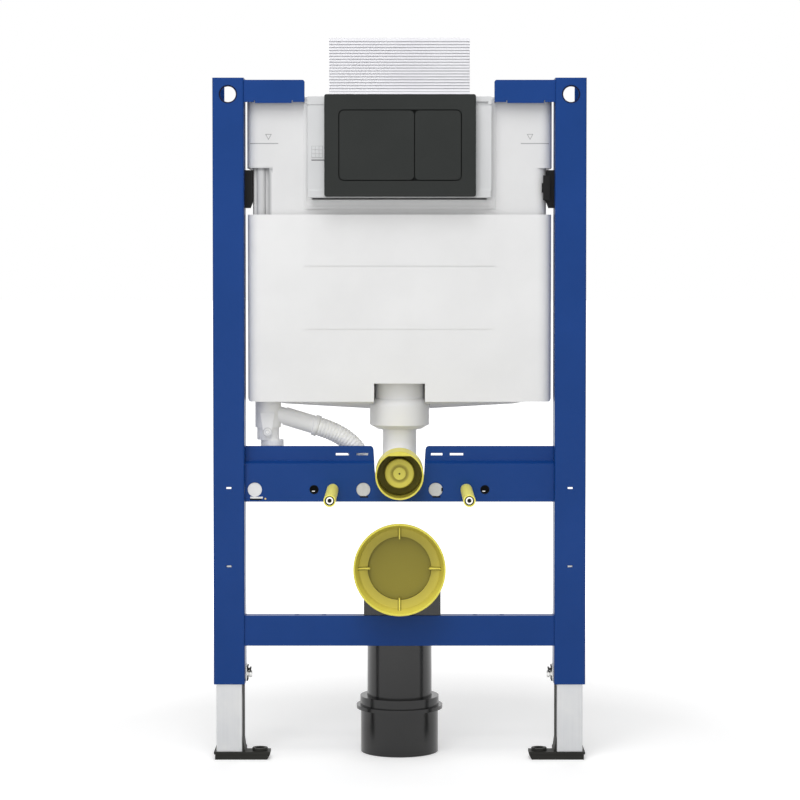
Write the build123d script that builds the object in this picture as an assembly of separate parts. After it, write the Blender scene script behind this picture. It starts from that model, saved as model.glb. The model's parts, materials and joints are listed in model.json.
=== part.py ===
from build123d import *
import math
import os

# Wall hung toilet frame with a low concealed cistern, in millimetres.
# X runs to the right, +Y runs back towards the wall and Z = 0 is the floor.
# The forms are drawn from the front face of the posts, Y = 0, and saved about the middle of the whole depth.

# General
frame_width = 500.0
fit_gap = 0.3
sheet = 2.0
bend_inside = 0.6
bar_sheet = 3.0
over = 1.0

# Levels of the water fittings, which the rest of the height follows
flush_level = 388.2
stud_below_flush = 24.5
drain_below_flush = 126.2
cistern_above_flush = 94.4

# Posts
post_width = 42.0
post_depth = 45.0
post_lip = 13.5
post_bottom = 102.0
post_above_hood = 25.3
anchor_hole_diameter = 24.6
anchor_hole_drop = 22.0
anchor_notch_height = 30.0
post_slot_width = 7.4
post_slot_height = 3.2
post_slot_rises = (159.4, 265.0)

# Telescopic legs and their feet
leg_side_gap = 1.25
leg_front_gap = 0.4
leg_rear_gap = 0.6
leg_lip = 9.0
leg_length = 320.0
foot_height = 10.6
foot_lip = 1.6
foot_lip_height = 3.4
foot_front_lip = 0.8
foot_draft = 3.9
foot_pad_depth = 54.0
foot_inner_reach = 75.7
foot_lug_depth = 27.0
foot_boss_radius = 10.4
foot_boss_hole_radius = 6.5
foot_boss_height = 4.0
foot_boss_inset = 14.1
gusset_height = 20.0
gusset_reach = 3.0

# Clamp screws at the foot of the posts
clamp_rise = 15.0
clamp_plate_above = 8.0
clamp_plate_below = 12.0
clamp_plate_depth = 24.0
clamp_plate_thickness = 2.2
clamp_screw_radius = 4.0
clamp_head_radius = 7.0
clamp_head_height = 6.0

# Top arms
arm_drop = 2.7
arm_height = 29.6
arm_frame_gap = 4.3
arm_front = 3.0
arm_top_depth = 30.0
arm_corner_radius = 3.0
arm_tab_drop = 1.3
arm_tab_from_post = 15.0
arm_tab_from_end = 17.0
arm_relief_width = 1.6
arm_relief_height = 2.4

# Middle crossbar
middle_bar_front = 12.0
middle_bar_below_studs = 16.3
middle_bar_height = 74.3
middle_bar_ledge_height = 51.5
middle_bar_ledge_rise = 3.1
middle_bar_ledge_depth = 13.0
middle_bar_return = 28.0
tie_slot_height = 3.1
tie_slot_drop = 11.2
tie_slots = ((42.5, 58.0), (68.0, 86.0))
cutout_clearance = 1.2
cutout_flare = 2.1
cutout_corner_radius = 4.5

# Lower crossbar
lower_bar_front = 3.0
lower_bar_below_drain = 67.4
lower_bar_height = 40.7
lower_bar_depth = 18.0
lower_bar_hole_radius = 3.3
lower_bar_hole_places = (101.6, 138.0)

# Pan fixing studs
stud_spacing = 180.0
alternative_stud_spacing = 230.0
stud_radius = 5.9
stud_hole_radius = 6.2
stud_tail = 30.0
stud_recess = 4.0
stud_chamfer = 1.1
stud_centre_radius = 2.3
nut_across_flats = 19.0
nut_height = 10.0
sleeve_radius = 7.9
sleeve_bore_radius = 6.25
sleeve_length = 157.0

# Round service holes in the middle crossbar
service_hole_radius = 9.5
service_hole_place = 48.7
water_hole_radius = 9.75
water_hole_from_post = 13.2
plug_flange_thickness = 3.0
plug_recess = 0.6

# Flush pipe and its cap
flush_pipe_radius = 23.0
flush_pipe_wall = 2.5
flush_bend_radius = 38.0
flush_cap_radius = 32.0
flush_cap_wall = 2.0
flush_cap_front = -55.0
flush_cap_rear = 14.0
flush_cap_base = 4.0
flush_cap_chord = 26.2
flush_core_radius = 19.7
flush_core_front = -21.0
flush_core_step = 1.2
flush_knob_radius = 8.0
flush_knob_height = 3.0
flush_dimple_radius = 1.4

# Outlet collar of the cistern
outlet_depth = 54.0
collar_radius = 40.5
collar_seat = 2.4
collar_height = 36.0
collar_dome = 11.0
collar_taper = 6.0
collar_lip_radius = 30.0
collar_notch_gap = 1.0
neck_side_gap = 1.0
neck_gap = 0.5

# Drain bend, cap and bracket
drain_pipe_radius = 44.0
drain_wall = 3.0
drain_bend_radius = 53.0
drain_straight = 7.5
drain_socket_step = 8.0
drain_socket_front = -15.0
drain_socket_rear = 26.0
drain_pipe_insert = 20.0
drain_cap_overhang = 9.4
drain_cap_front = -45.0
drain_cap_rear = 2.0
drain_cap_wall = 2.2
drain_cap_rim = 6.0
drain_ledge_front = -28.0
drain_ledge_rear = -24.0
drain_ledge_width = 11.2
drain_cap_disc_inset = 19.1
drain_cap_disc_front = -18.0
drain_rib_count = 4
drain_rib_thickness = 1.7
drain_rib_inset = 3.3
drain_rib_outset = 12.2
drain_rib_front = -29.5
bracket_left_inset = 4.0
bracket_right_outset = 3.4
bracket_depth = 14.0
bracket_front = 6.0

# Drain coupling
coupling_lip_step = 9.7
coupling_ring_step = 5.1
coupling_barrel_inset = 0.9
coupling_wall = 3.3
coupling_top = 77.0
coupling_ring_top = 64.7
coupling_ring_bottom = 59.9
coupling_bottom = 0.5
coupling_grip = 34.0
coupling_step = 4.0

# Lower body of the cistern
tank_wall = 3.0
tank_side_gap = 4.0
tank_front = 6.0
tank_depth = 120.0
tank_body_height = 251.0
tank_edge_radius = 18.0
tank_corner_radius = 7.0
tank_rear_drop = 16.6
tank_mid_drop = 9.6
tank_end_drop = 1.6
tank_slope_width = 47.0
notch_half_width = 34.3
notch_height = 24.4
panel_half_width = 128.2
upper_panel_rise = 182.4
upper_panel_relief = 0.8
lower_panel_height = 97.7
lower_panel_recess = 0.6

# Upper body of the cistern
hood_side_gap = 3.0
hood_setback = 10.0
hood_height = 157.1
hood_waist_inset = 7.5
hood_waist_height = 62.4
hood_edge_radius = 16.0
hood_rim_width = 4.5
hood_rim_height = 2.0
hood_rim_gap = 1.5
hood_rim_below = 14.8
hood_rim_radius = 8.0
hook_slot_half_width = 117.0
hook_slot_height = 2.0
pocket_width = 22.0
pocket_margin = 0.5
pocket_depth = 8.0
pocket_rib_radius = 6.0

# Side clips between cistern and posts
clip_rise = 9.0
clip_height = 50.8
clip_depth = 22.0
clip_setback = 2.0
clip_chamfer_width = 3.5
clip_chamfer_height = 9.0
lug_rise = 10.0
lug_height = 33.4
lug_reach = 4.9
lug_thickness = 4.0
lug_root = 4.0
bump_height = 12.9
bump_reach = 1.8

# Service frame
service_frame_half_width = 122.7
service_frame_height = 134.9
service_frame_depth = 21.0
service_step = 3.7
service_step_height = 10.4
service_groove_drop = 10.7
service_groove = 1.2
service_slot_near = 101.0
service_slot_far = 118.0
service_slot_drop = 6.7
service_slot_height = 3.0
service_slot_depth = 4.0
service_hole_half_width = 88.0
service_hole_height = 108.0
service_hole_drop = 12.7

# Protection box
box_half_width = 94.2
box_setback = 1.0
box_depth = 80.0
box_height = 79.3
box_wall = 2.5
groove_count = 17
groove_pitch = 3.91
groove_width = 1.3
groove_depth = 1.0
groove_first_drop = 5.2

# Flush plate and its buttons
plate_centre = 0.8
plate_half_width = 100.75
plate_height = 135.7
plate_rise = 2.2
plate_depth = 15.0
plate_face = 3.0
plate_wall = 2.5
plate_corner_radius = 3.0
button_half_width = 80.7
button_height = 92.0
button_drop = 21.6
button_corner_radius = 6.0
button_gap = 1.3
button_split = 19.9
button_thickness = 3.5
carrier_setback = 11.0
carrier_thickness = 2.0
guide_radius = 2.5
guide_length = 13.0

# Supply fitting and conduit hose
supply_inset = 25.5
supply_depth = 44.0
supply_head_room = 5.0
supply_shoulder_radius = 17.5
supply_shoulder_drop = 37.0
supply_waist_radius = 15.0
supply_waist_height = 16.6
supply_foot_radius = 15.5
supply_foot_height = 9.0
supply_foot_offset = 5.5
supply_branch_radius = 11.0
supply_branch_length = 22.0
supply_tongue_half_width = 9.8
supply_tongue_end_radius = 5.9
supply_tongue_drop = 42.5
supply_tongue_length = 26.0
supply_tongue_depth = 6.0
supply_tongue_proud = 1.5
supply_boss_radius = 4.4
supply_boss_height = 1.5
hose_radius = 13.0
hose_start_reach = 22.5
hose_start_drop = 21.7
hose_end_offset = 2.7
hose_end_rise = 21.3
# Each corner of the hose's line, as shares of the way across and of the way down
hose_shares = ((0.195, 0.082), (0.386, 0.170), (0.568, 0.262), (0.727, 0.381), (0.859, 0.545), (0.950, 0.756))
hose_arc_share = 0.45
socket_neck_length = 16.0
socket_neck_radius = 12.0

# Worked out across the width
post_centre = frame_width / 2 - post_width / 2
post_inner_face = frame_width / 2 - post_width
leg_width = post_width - 2 * (sheet + leg_side_gap)
tank_half_width = post_inner_face - tank_side_gap
hood_half_width = post_inner_face - hood_side_gap
hood_waist_half_width = hood_half_width - hood_waist_inset
tank_mid_place = tank_half_width - tank_slope_width
arm_inner_end = service_frame_half_width + arm_frame_gap
water_hole_place = post_inner_face - water_hole_from_post
supply_x = supply_inset - tank_half_width

# Worked out along the depth
leg_front = sheet + leg_front_gap
leg_depth = post_depth - 2 * sheet - leg_front_gap - leg_rear_gap
middle_bar_wall_rear = middle_bar_front + bar_sheet
sleeve_front = middle_bar_front - sleeve_length
tank_rear = tank_front + tank_depth
outlet_axis_y = tank_front + outlet_depth
supply_y = tank_front + supply_depth
hood_front = tank_front + hood_setback
service_frame_front = hood_front - service_frame_depth
plate_front = service_frame_front - plate_depth
carrier_front = plate_front + carrier_setback
box_front = hood_front - box_setback
drain_axis_y = drain_socket_rear - drain_pipe_insert + drain_straight + drain_bend_radius
middle_of_depth = (sleeve_front + tank_rear) / 2
row_shift = Pos(0, -middle_of_depth, 0)

# Worked out up the height
stud_level = flush_level - stud_below_flush
drain_level = flush_level - drain_below_flush
tank_bottom = flush_level + cistern_above_flush
tank_split = tank_bottom + tank_body_height
notch_top = tank_bottom + notch_height
hood_top = tank_split + hood_height
hood_waist_top = tank_split + hood_waist_height
post_top = hood_top + post_above_hood
anchor_level = post_top - anchor_hole_drop
arm_top = post_top - arm_drop
clamp_level = post_bottom + clamp_rise
middle_bar_bottom = stud_level - middle_bar_below_studs
middle_bar_top = middle_bar_bottom + middle_bar_height
lower_bar_top = drain_level - lower_bar_below_drain
lower_bar_bottom = lower_bar_top - lower_bar_height
collar_top = tank_bottom + collar_seat
collar_shoulder = collar_top - collar_height
collar_bottom = collar_shoulder - collar_taper
service_frame_bottom = hood_top - service_frame_height
service_hole_top = hood_top - service_hole_drop
service_hole_bottom = service_hole_top - service_hole_height
plate_top = hood_top + plate_rise
plate_bottom = plate_top - plate_height
button_top = plate_top - button_drop
button_bottom = button_top - button_height

# Worked out round pipes and holes
bend_radius = sheet + bend_inside
plug_flange_radius = middle_bar_below_studs - bar_sheet - fit_gap
drain_socket_radius = drain_pipe_radius + drain_socket_step
drain_cap_radius = drain_socket_radius + drain_cap_overhang
drain_disc_radius = drain_cap_radius - drain_cap_disc_inset
coupling_lip_radius = drain_pipe_radius + coupling_lip_step
coupling_ring_radius = coupling_lip_radius + coupling_ring_step
coupling_barrel_radius = coupling_lip_radius - coupling_barrel_inset
neck_radius = notch_half_width - neck_side_gap


def save(name, solid):
    """Write one named piece about the middle of the whole depth."""
    export_step(row_shift * solid, f"parts/{name}.step")


def save_pair(name, right_solid):
    """Write a piece of the right side and its mirror image on the left."""
    save(f"right_{name}", right_solid)
    save(f"left_{name}", mirror(right_solid, about=Plane.YZ))


def block(x0, x1, y0, y1, z0, z1):
    """A box between two corners."""
    size = Box(x1 - x0, y1 - y0, z1 - z0)
    return Pos((x0 + x1) / 2, (y0 + y1) / 2, (z0 + z1) / 2) * size


def rod_x(radius, x0, x1, y, z):
    """A round rod along X from x0 to x1."""
    rod = Cylinder(radius, x1 - x0, rotation=(0, 90, 0))
    return Pos((x0 + x1) / 2, y, z) * rod


def rod_y(radius, y0, y1, x, z):
    """A round rod along Y from y0 to y1."""
    rod = Cylinder(radius, y1 - y0, rotation=(90, 0, 0))
    return Pos(x, (y0 + y1) / 2, z) * rod


def rod_z(radius, z0, z1, x, y):
    """A round rod along Z from z0 to z1."""
    return Pos(x, y, (z0 + z1) / 2) * Cylinder(radius, z1 - z0)


def stub(radius, end, beyond, length):
    """A round stub that starts at one point and runs on away from another."""
    away = Vector(*end) - Vector(*beyond)
    return Plane(origin=end, z_dir=away) * extrude(Circle(radius), amount=length)


def turned_y(points, x, z):
    """Revolve an outline of (radius, y) points about an axis along Y."""
    outline = make_face(Polyline(*[(radius, y, 0) for radius, y in points], close=True))
    return Pos(x, 0, z) * revolve(outline, Axis.Y)


def turned_z(points, x, y):
    """Revolve an outline of (radius, z) points about an axis along Z."""
    outline = make_face(Polyline(*[(radius, 0, z) for radius, z in points], close=True))
    return Pos(x, y, 0) * revolve(outline, Axis.Z)


def along_x(points, x0, x1):
    """Extrude an outline of (y, z) points from x0 to x1."""
    outline = make_face(Polyline(*[(x0, y, z) for y, z in points], close=True))
    return extrude(outline, amount=x1 - x0, dir=(1, 0, 0))


def along_y(points, y0, y1):
    """Extrude an outline of (x, z) points from y0 to y1."""
    outline = make_face(Polyline(*[(x, y0, z) for x, z in points], close=True))
    return extrude(outline, amount=y1 - y0, dir=(0, 1, 0))


def facing(x, y, z):
    """A plane that faces the front, with its own X to the right and its own Y up."""
    return Plane(origin=(x, y, z), x_dir=(1, 0, 0), z_dir=(0, -1, 0))


def c_profile(width, depth, lip):
    """Section of a folded C channel whose open side faces +Y, front face on Y = 0."""
    outer = Pos(0, depth / 2) * RectangleRounded(width, depth, bend_radius)
    inner = Pos(0, depth / 2) * RectangleRounded(width - 2 * sheet, depth - 2 * sheet, bend_inside)
    mouth = Pos(0, depth) * Rectangle(width - 2 * lip, 3 * sheet)
    return outer - inner - mouth


# Posts
def make_post():
    post = Pos(post_centre, 0, post_bottom) * extrude(
        c_profile(post_width, post_depth, post_lip), amount=post_top - post_bottom
    )
    post -= rod_y(anchor_hole_diameter / 2, -over, sheet + over, post_centre, anchor_level)
    # The inner lip is cut away behind the anchor hole
    post -= block(
        post_inner_face + sheet, post_centre, post_depth - sheet - over, post_depth + over,
        anchor_level - anchor_notch_height / 2, anchor_level + anchor_notch_height / 2,
    )
    for rise in post_slot_rises:
        level = post_bottom + rise
        post -= block(
            post_centre - post_slot_width / 2, post_centre + post_slot_width / 2, -over, sheet + over,
            level - post_slot_height / 2, level + post_slot_height / 2,
        )
    post -= rod_x(
        clamp_screw_radius + fit_gap, post_inner_face - over, post_inner_face + sheet + over,
        post_depth / 2, clamp_level,
    )
    return post


# Legs and feet
def make_leg():
    return Pos(post_centre, leg_front, foot_height) * extrude(
        c_profile(leg_width, leg_depth, leg_lip), amount=leg_length
    )


def make_foot():
    outer_edge = frame_width / 2
    inner_edge = outer_edge - foot_inner_reach
    leg_inner = post_centre - leg_width / 2
    lip_bottom = foot_height - foot_lip_height
    # Pad under the leg, with a lip along its outer end
    foot = along_y(
        (
            (leg_inner - gusset_reach, 0),
            (leg_inner - gusset_reach, foot_height),
            (outer_edge, foot_height),
            (outer_edge, lip_bottom),
            (outer_edge - foot_lip, lip_bottom),
            (outer_edge - foot_lip, 0),
        ),
        0, foot_pad_depth,
    )
    # Lug for the floor bolt, drawn in below its lip
    foot += along_y(
        (
            (post_centre, 0),
            (inner_edge + foot_draft, 0),
            (inner_edge, lip_bottom),
            (inner_edge, foot_height),
            (post_centre, foot_height),
        ),
        0, foot_lug_depth,
    )
    foot -= block(inner_edge - over, outer_edge + over, -over, foot_front_lip, -over, lip_bottom)
    boss_x = inner_edge + foot_boss_inset
    boss_y = foot_lug_depth / 2
    boss_top = foot_height + foot_boss_height
    foot += rod_z(foot_boss_radius, foot_height, boss_top, boss_x, boss_y)
    foot -= rod_z(foot_boss_hole_radius, -over, boss_top + over, boss_x, boss_y)
    # Gusset beside the leg
    gusset = along_y(
        (
            (leg_inner, foot_height),
            (leg_inner - gusset_reach, foot_height),
            (leg_inner, foot_height + gusset_height),
        ),
        leg_front, leg_front + leg_depth,
    )
    # Plug that stands inside the hollow leg
    plug = block(
        leg_inner + sheet + fit_gap, leg_inner + leg_width - sheet - fit_gap,
        leg_front + sheet + fit_gap, leg_front + leg_depth - sheet - fit_gap,
        foot_height, foot_height + gusset_height,
    )
    return foot + gusset + plug


def make_clamp_screw():
    plate_face_x = post_inner_face - clamp_plate_thickness
    screw_y = post_depth / 2
    plate = block(
        plate_face_x, post_inner_face,
        screw_y - clamp_plate_depth / 2, screw_y + clamp_plate_depth / 2,
        clamp_level - clamp_plate_below, clamp_level + clamp_plate_above,
    )
    shank_tip = post_centre - leg_width / 2 - fit_gap
    shank = rod_x(clamp_screw_radius, plate_face_x, shank_tip, screw_y, clamp_level)
    head = Plane(
        origin=(plate_face_x, screw_y, clamp_level), z_dir=(-1, 0, 0)
    ) * extrude(RegularPolygon(clamp_head_radius, 6), amount=clamp_head_height)
    return plate + shank + head


# Top arms
def make_arm():
    bottom = arm_top - arm_height
    rear = arm_front + sheet
    end_rear = hood_front - hood_rim_height - fit_gap
    arm = block(arm_inner_end, post_inner_face, arm_front, rear, bottom, arm_top)
    arm += block(arm_inner_end, post_inner_face, arm_front, arm_front + arm_top_depth, arm_top - sheet, arm_top)
    arm += block(arm_inner_end, arm_inner_end + sheet, arm_front, end_rear, bottom, arm_top)
    tab_far = post_inner_face - arm_tab_from_post
    tab_near = arm_inner_end + arm_tab_from_end
    arm += block(tab_near, tab_far, arm_front, rear, bottom - arm_tab_drop, bottom)
    for edge in (tab_near - arm_relief_width, tab_far):
        arm -= block(
            edge, edge + arm_relief_width, arm_front - over, rear + over, bottom - over, bottom + arm_relief_height
        )
    # The upper inner corner is rounded right through
    corner = block(
        arm_inner_end - over, arm_inner_end + arm_corner_radius, arm_front - over,
        arm_front + arm_top_depth + over, arm_top - arm_corner_radius, arm_top + over,
    )
    corner -= rod_y(
        arm_corner_radius, arm_front - 2 * over, arm_front + arm_top_depth + 2 * over,
        arm_inner_end + arm_corner_radius, arm_top - arm_corner_radius,
    )
    return arm - corner


# Middle crossbar
def middle_bar_outline():
    """Folded section with a bottom return, a sloping ledge and an upright flange."""
    front = middle_bar_front
    rear = front + middle_bar_ledge_depth
    ledge_front = middle_bar_bottom + middle_bar_ledge_height
    ledge_top = ledge_front + middle_bar_ledge_rise
    return (
        (front + middle_bar_return, middle_bar_bottom),
        (front, middle_bar_bottom),
        (front, ledge_front),
        (rear, ledge_top),
        (rear, middle_bar_top),
        (rear + bar_sheet, middle_bar_top),
        (rear + bar_sheet, ledge_top - bar_sheet),
        (front + bar_sheet, ledge_front - bar_sheet),
        (front + bar_sheet, middle_bar_bottom + bar_sheet),
        (front + middle_bar_return, middle_bar_bottom + bar_sheet),
    )


def cutout_form():
    """The half-round seat of the flush pipe with its flared sides, open at the top."""
    front = middle_bar_front - over
    rear = middle_bar_front + middle_bar_return + over
    seat_radius = flush_cap_radius + cutout_clearance
    mouth = seat_radius + cutout_flare
    form = rod_y(seat_radius, front, rear, 0, flush_level)
    form += along_y(
        (
            (-seat_radius, flush_level),
            (-mouth, middle_bar_top),
            (-mouth - cutout_corner_radius, middle_bar_top),
            (-mouth - cutout_corner_radius, middle_bar_top + over),
            (mouth + cutout_corner_radius, middle_bar_top + over),
            (mouth + cutout_corner_radius, middle_bar_top),
            (mouth, middle_bar_top),
            (seat_radius, flush_level),
        ),
        front, rear,
    )
    # The upper corners of the sheet beside the mouth are rounded
    for side in (-1, 1):
        centre_x = side * (mouth + cutout_corner_radius)
        centre_z = middle_bar_top - cutout_corner_radius
        edge_x = side * (mouth - over)
        corner = block(
            min(edge_x, centre_x), max(edge_x, centre_x), front, rear, centre_z, middle_bar_top + over
        )
        form += corner - rod_y(cutout_corner_radius, front - over, rear + over, centre_x, centre_z)
    return form


def make_middle_bar():
    bar = along_x(middle_bar_outline(), -post_inner_face, post_inner_face) - cutout_form()
    front = middle_bar_front - over
    rear = middle_bar_wall_rear + over
    slot_front = middle_bar_front + middle_bar_ledge_depth
    slot_level = middle_bar_top - tie_slot_drop
    for side in (-1, 1):
        bar -= rod_y(stud_hole_radius, front, rear, side * stud_spacing / 2, stud_level)
        bar -= rod_y(stud_hole_radius, front, rear, side * alternative_stud_spacing / 2, stud_level)
        bar -= rod_y(service_hole_radius, front, rear, side * service_hole_place, stud_level)
        for near, far in tie_slots:
            middle = side * (near + far) / 2
            bar -= block(
                middle - (far - near) / 2, middle + (far - near) / 2,
                slot_front - over, slot_front + bar_sheet + over,
                slot_level - tie_slot_height / 2, slot_level + tie_slot_height / 2,
            )
    bar -= rod_y(water_hole_radius, front, rear, -water_hole_place, stud_level)
    return bar


# Lower crossbar
def make_lower_bar():
    rear = lower_bar_front + lower_bar_depth
    outer = block(-post_inner_face, post_inner_face, lower_bar_front, rear, lower_bar_bottom, lower_bar_top)
    hollow = block(
        -post_inner_face, post_inner_face, lower_bar_front + bar_sheet, rear + over,
        lower_bar_bottom + bar_sheet, lower_bar_top - bar_sheet,
    )
    bar = outer - hollow
    hole_y = lower_bar_front + lower_bar_depth / 2
    for side in (-1, 1):
        for place in lower_bar_hole_places:
            bar -= rod_z(
                lower_bar_hole_radius, lower_bar_top - bar_sheet - over, lower_bar_top + over, side * place, hole_y
            )
    return bar


# Studs and their sleeves
def make_stud():
    x = stud_spacing / 2
    tip = sleeve_front + stud_recess
    rod = turned_y(
        (
            (0, tip + stud_centre_radius),
            (stud_centre_radius, tip),
            (stud_radius - stud_chamfer, tip),
            (stud_radius, tip + stud_chamfer),
            (stud_radius, middle_bar_wall_rear + stud_tail),
            (0, middle_bar_wall_rear + stud_tail),
        ),
        x, stud_level,
    )
    nut = Plane(origin=(x, middle_bar_wall_rear, stud_level), z_dir=(0, 1, 0)) * extrude(
        RegularPolygon(nut_across_flats / 2, 6, major_radius=False), amount=nut_height
    )
    return rod + nut


def make_sleeve():
    x = stud_spacing / 2
    tube = rod_y(sleeve_radius, sleeve_front, middle_bar_front, x, stud_level)
    return tube - rod_y(sleeve_bore_radius, sleeve_front - over, middle_bar_front + over, x, stud_level)


# Plugs behind the round holes
def make_plug(hole_radius, x):
    plug = rod_y(hole_radius - fit_gap, middle_bar_front + plug_recess, middle_bar_wall_rear, x, stud_level)
    plug += rod_y(
        plug_flange_radius, middle_bar_wall_rear, middle_bar_wall_rear + plug_flange_thickness, x, stud_level
    )
    return plug


# Flush pipe, cap and collar
def make_flush_bend():
    path = FilletPolyline(
        (0, flush_cap_rear, flush_level),
        (0, outlet_axis_y, flush_level),
        (0, outlet_axis_y, collar_bottom),
        radius=flush_bend_radius,
    )
    start = Plane(origin=(0, flush_cap_rear, flush_level), z_dir=(0, 1, 0))
    ring = start * (Circle(flush_pipe_radius) - Circle(flush_pipe_radius - flush_pipe_wall))
    return sweep(ring, path=path)


def make_flush_cap():
    inner_radius = flush_cap_radius - flush_cap_wall
    base_front = flush_cap_rear - flush_cap_base
    knob_front = flush_core_front - flush_knob_height
    cap = turned_y(
        (
            (0, flush_cap_rear),
            (flush_cap_radius, flush_cap_rear),
            (flush_cap_radius, flush_cap_front),
            (inner_radius, flush_cap_front),
            (inner_radius, base_front),
            (flush_core_radius, base_front),
            (flush_core_radius, flush_core_front + flush_core_step),
            (flush_core_radius - flush_core_step, flush_core_front),
            (flush_knob_radius, flush_core_front),
            (flush_knob_radius, knob_front),
            (flush_dimple_radius, knob_front),
            (0, knob_front + flush_dimple_radius),
        ),
        0, flush_level,
    )
    # A flat closes the top of the round cavity
    flat = rod_y(flush_cap_radius, flush_cap_front, base_front, 0, flush_level) & block(
        -flush_cap_radius, flush_cap_radius, flush_cap_front, base_front,
        flush_level + flush_cap_chord, flush_level + flush_cap_radius,
    )
    return cap + flat


def make_collar():
    bore = flush_pipe_radius - flush_pipe_wall
    dome_foot = collar_top - collar_dome
    neck_top = notch_top - neck_gap
    straight = Polyline(
        (neck_radius, 0, collar_top),
        (neck_radius, 0, neck_top),
        (bore, 0, neck_top),
        (bore, 0, collar_bottom),
        (collar_lip_radius, 0, collar_bottom),
        (collar_radius, 0, collar_shoulder),
        (collar_radius, 0, dome_foot),
    )
    dome = TangentArc((collar_radius, 0, dome_foot), (neck_radius, 0, collar_top), tangent=(0, 0, 1))
    outline = make_face(straight.edges() + dome.edges())
    return Pos(0, outlet_axis_y, 0) * revolve(outline, Axis.Z)


# Drain
def make_drain_bend():
    socket_mid = (drain_socket_front + drain_socket_rear) / 2
    pipe_start = drain_socket_rear - drain_pipe_insert
    bore = drain_pipe_radius - drain_wall
    path = FilletPolyline(
        (0, pipe_start, drain_level),
        (0, drain_axis_y, drain_level),
        (0, drain_axis_y, coupling_top - coupling_grip),
        radius=drain_bend_radius,
    )
    start = Plane(origin=(0, pipe_start, drain_level), z_dir=(0, 1, 0))
    outer = sweep(start * Circle(drain_pipe_radius), path=path)
    inner = sweep(start * Circle(bore), path=path)
    socket = rod_y(drain_socket_radius, drain_socket_front, drain_socket_rear, 0, drain_level)
    mouth = rod_y(drain_socket_radius - drain_wall, drain_socket_front - over, socket_mid, 0, drain_level)
    throat = rod_y(bore, drain_socket_front, pipe_start, 0, drain_level)
    return outer + socket - mouth - (throat + inner)


def make_drain_cap():
    rim_inner = drain_cap_radius - drain_cap_wall
    skirt_inner = drain_socket_radius + fit_gap
    ledge_radius = drain_disc_radius + drain_ledge_width
    cap = turned_y(
        (
            (0, drain_socket_front),
            (skirt_inner, drain_socket_front),
            (skirt_inner, drain_cap_rear),
            (skirt_inner + drain_cap_wall, drain_cap_rear),
            (drain_cap_radius, drain_cap_front + drain_cap_rim),
            (drain_cap_radius, drain_cap_front),
            (rim_inner, drain_cap_front),
            (ledge_radius, drain_ledge_front),
            (drain_disc_radius, drain_ledge_rear),
            (drain_disc_radius, drain_cap_disc_front),
            (0, drain_cap_disc_front),
        ),
        0, drain_level,
    )
    # Radial ribs across the sloping ledge
    rib = block(
        drain_disc_radius - drain_rib_inset, drain_disc_radius + drain_rib_outset,
        drain_rib_front, drain_cap_disc_front,
        -drain_rib_thickness / 2, drain_rib_thickness / 2,
    )
    for number in range(drain_rib_count):
        turn = 360 * number / drain_rib_count
        cap += Pos(0, 0, drain_level) * Rot(0, turn, 0) * rib
    return cap


def make_drain_bracket():
    cradle = block(
        bracket_left_inset - drain_socket_radius, drain_socket_radius + bracket_right_outset,
        bracket_front, bracket_front + bracket_depth, lower_bar_top, drain_level,
    )
    return cradle - rod_y(
        drain_socket_radius + fit_gap, bracket_front - over, bracket_front + bracket_depth + over, 0, drain_level
    )


def make_drain_coupling():
    grip_radius = drain_pipe_radius + fit_gap
    bore = drain_pipe_radius - drain_wall
    socket_radius = coupling_barrel_radius - coupling_wall
    step = coupling_top - coupling_grip
    return turned_z(
        (
            (grip_radius, coupling_top),
            (coupling_lip_radius, coupling_top),
            (coupling_lip_radius, coupling_ring_top),
            (coupling_ring_radius, coupling_ring_top),
            (coupling_ring_radius, coupling_ring_bottom),
            (coupling_barrel_radius, coupling_ring_bottom),
            (coupling_barrel_radius, coupling_bottom),
            (socket_radius, coupling_bottom),
            (socket_radius, step - coupling_step),
            (bore, step - coupling_step),
            (bore, step),
            (grip_radius, step),
        ),
        0, drain_axis_y,
    )


# Lower body of the cistern
def tank_section(x, drop, inset):
    """Section of the lower cistern at one place across its width."""
    return make_face(Polyline(
        (x, tank_front + inset, tank_bottom + inset),
        (x, tank_rear - inset, tank_bottom + inset - drop),
        (x, tank_rear - inset, tank_split),
        (x, tank_front + inset, tank_split),
        close=True,
    ))


def tank_form(inset):
    """The lower cistern's body drawn in from its outside by an inset."""
    half = loft(
        [
            tank_section(0, tank_rear_drop, inset),
            tank_section(notch_half_width, tank_rear_drop, inset),
            tank_section(tank_mid_place, tank_mid_drop, inset),
            tank_section(tank_half_width - inset, tank_end_drop, inset),
        ],
        ruled=True,
    )
    form = half + mirror(half, about=Plane.YZ)
    plan = Pos(0, (tank_front + tank_rear) / 2) * RectangleRounded(
        2 * (tank_half_width - inset), tank_depth - 2 * inset, tank_edge_radius - inset
    )
    low = tank_bottom - tank_rear_drop - over
    form = form & (Pos(0, 0, low) * extrude(plan, amount=tank_split - low))
    # The lower corners are rounded in the front view
    centre_x = tank_half_width - tank_corner_radius
    centre_z = tank_bottom - tank_end_drop + tank_corner_radius
    corner = block(centre_x, tank_half_width + over, tank_front - over, tank_rear + over, low, centre_z)
    corner -= rod_y(
        tank_corner_radius - inset, tank_front - 2 * over, tank_rear + 2 * over, centre_x, centre_z
    )
    form -= corner
    form -= mirror(corner, about=Plane.YZ)
    # Notch for the outlet's neck
    neck = notch_half_width + inset
    form -= block(-neck, neck, tank_front - over, outlet_axis_y, low, notch_top + inset)
    form -= rod_z(neck, low, notch_top + inset, 0, outlet_axis_y)
    form -= rod_z(collar_radius + collar_notch_gap + inset, low, collar_top + inset, 0, outlet_axis_y)
    return form


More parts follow.
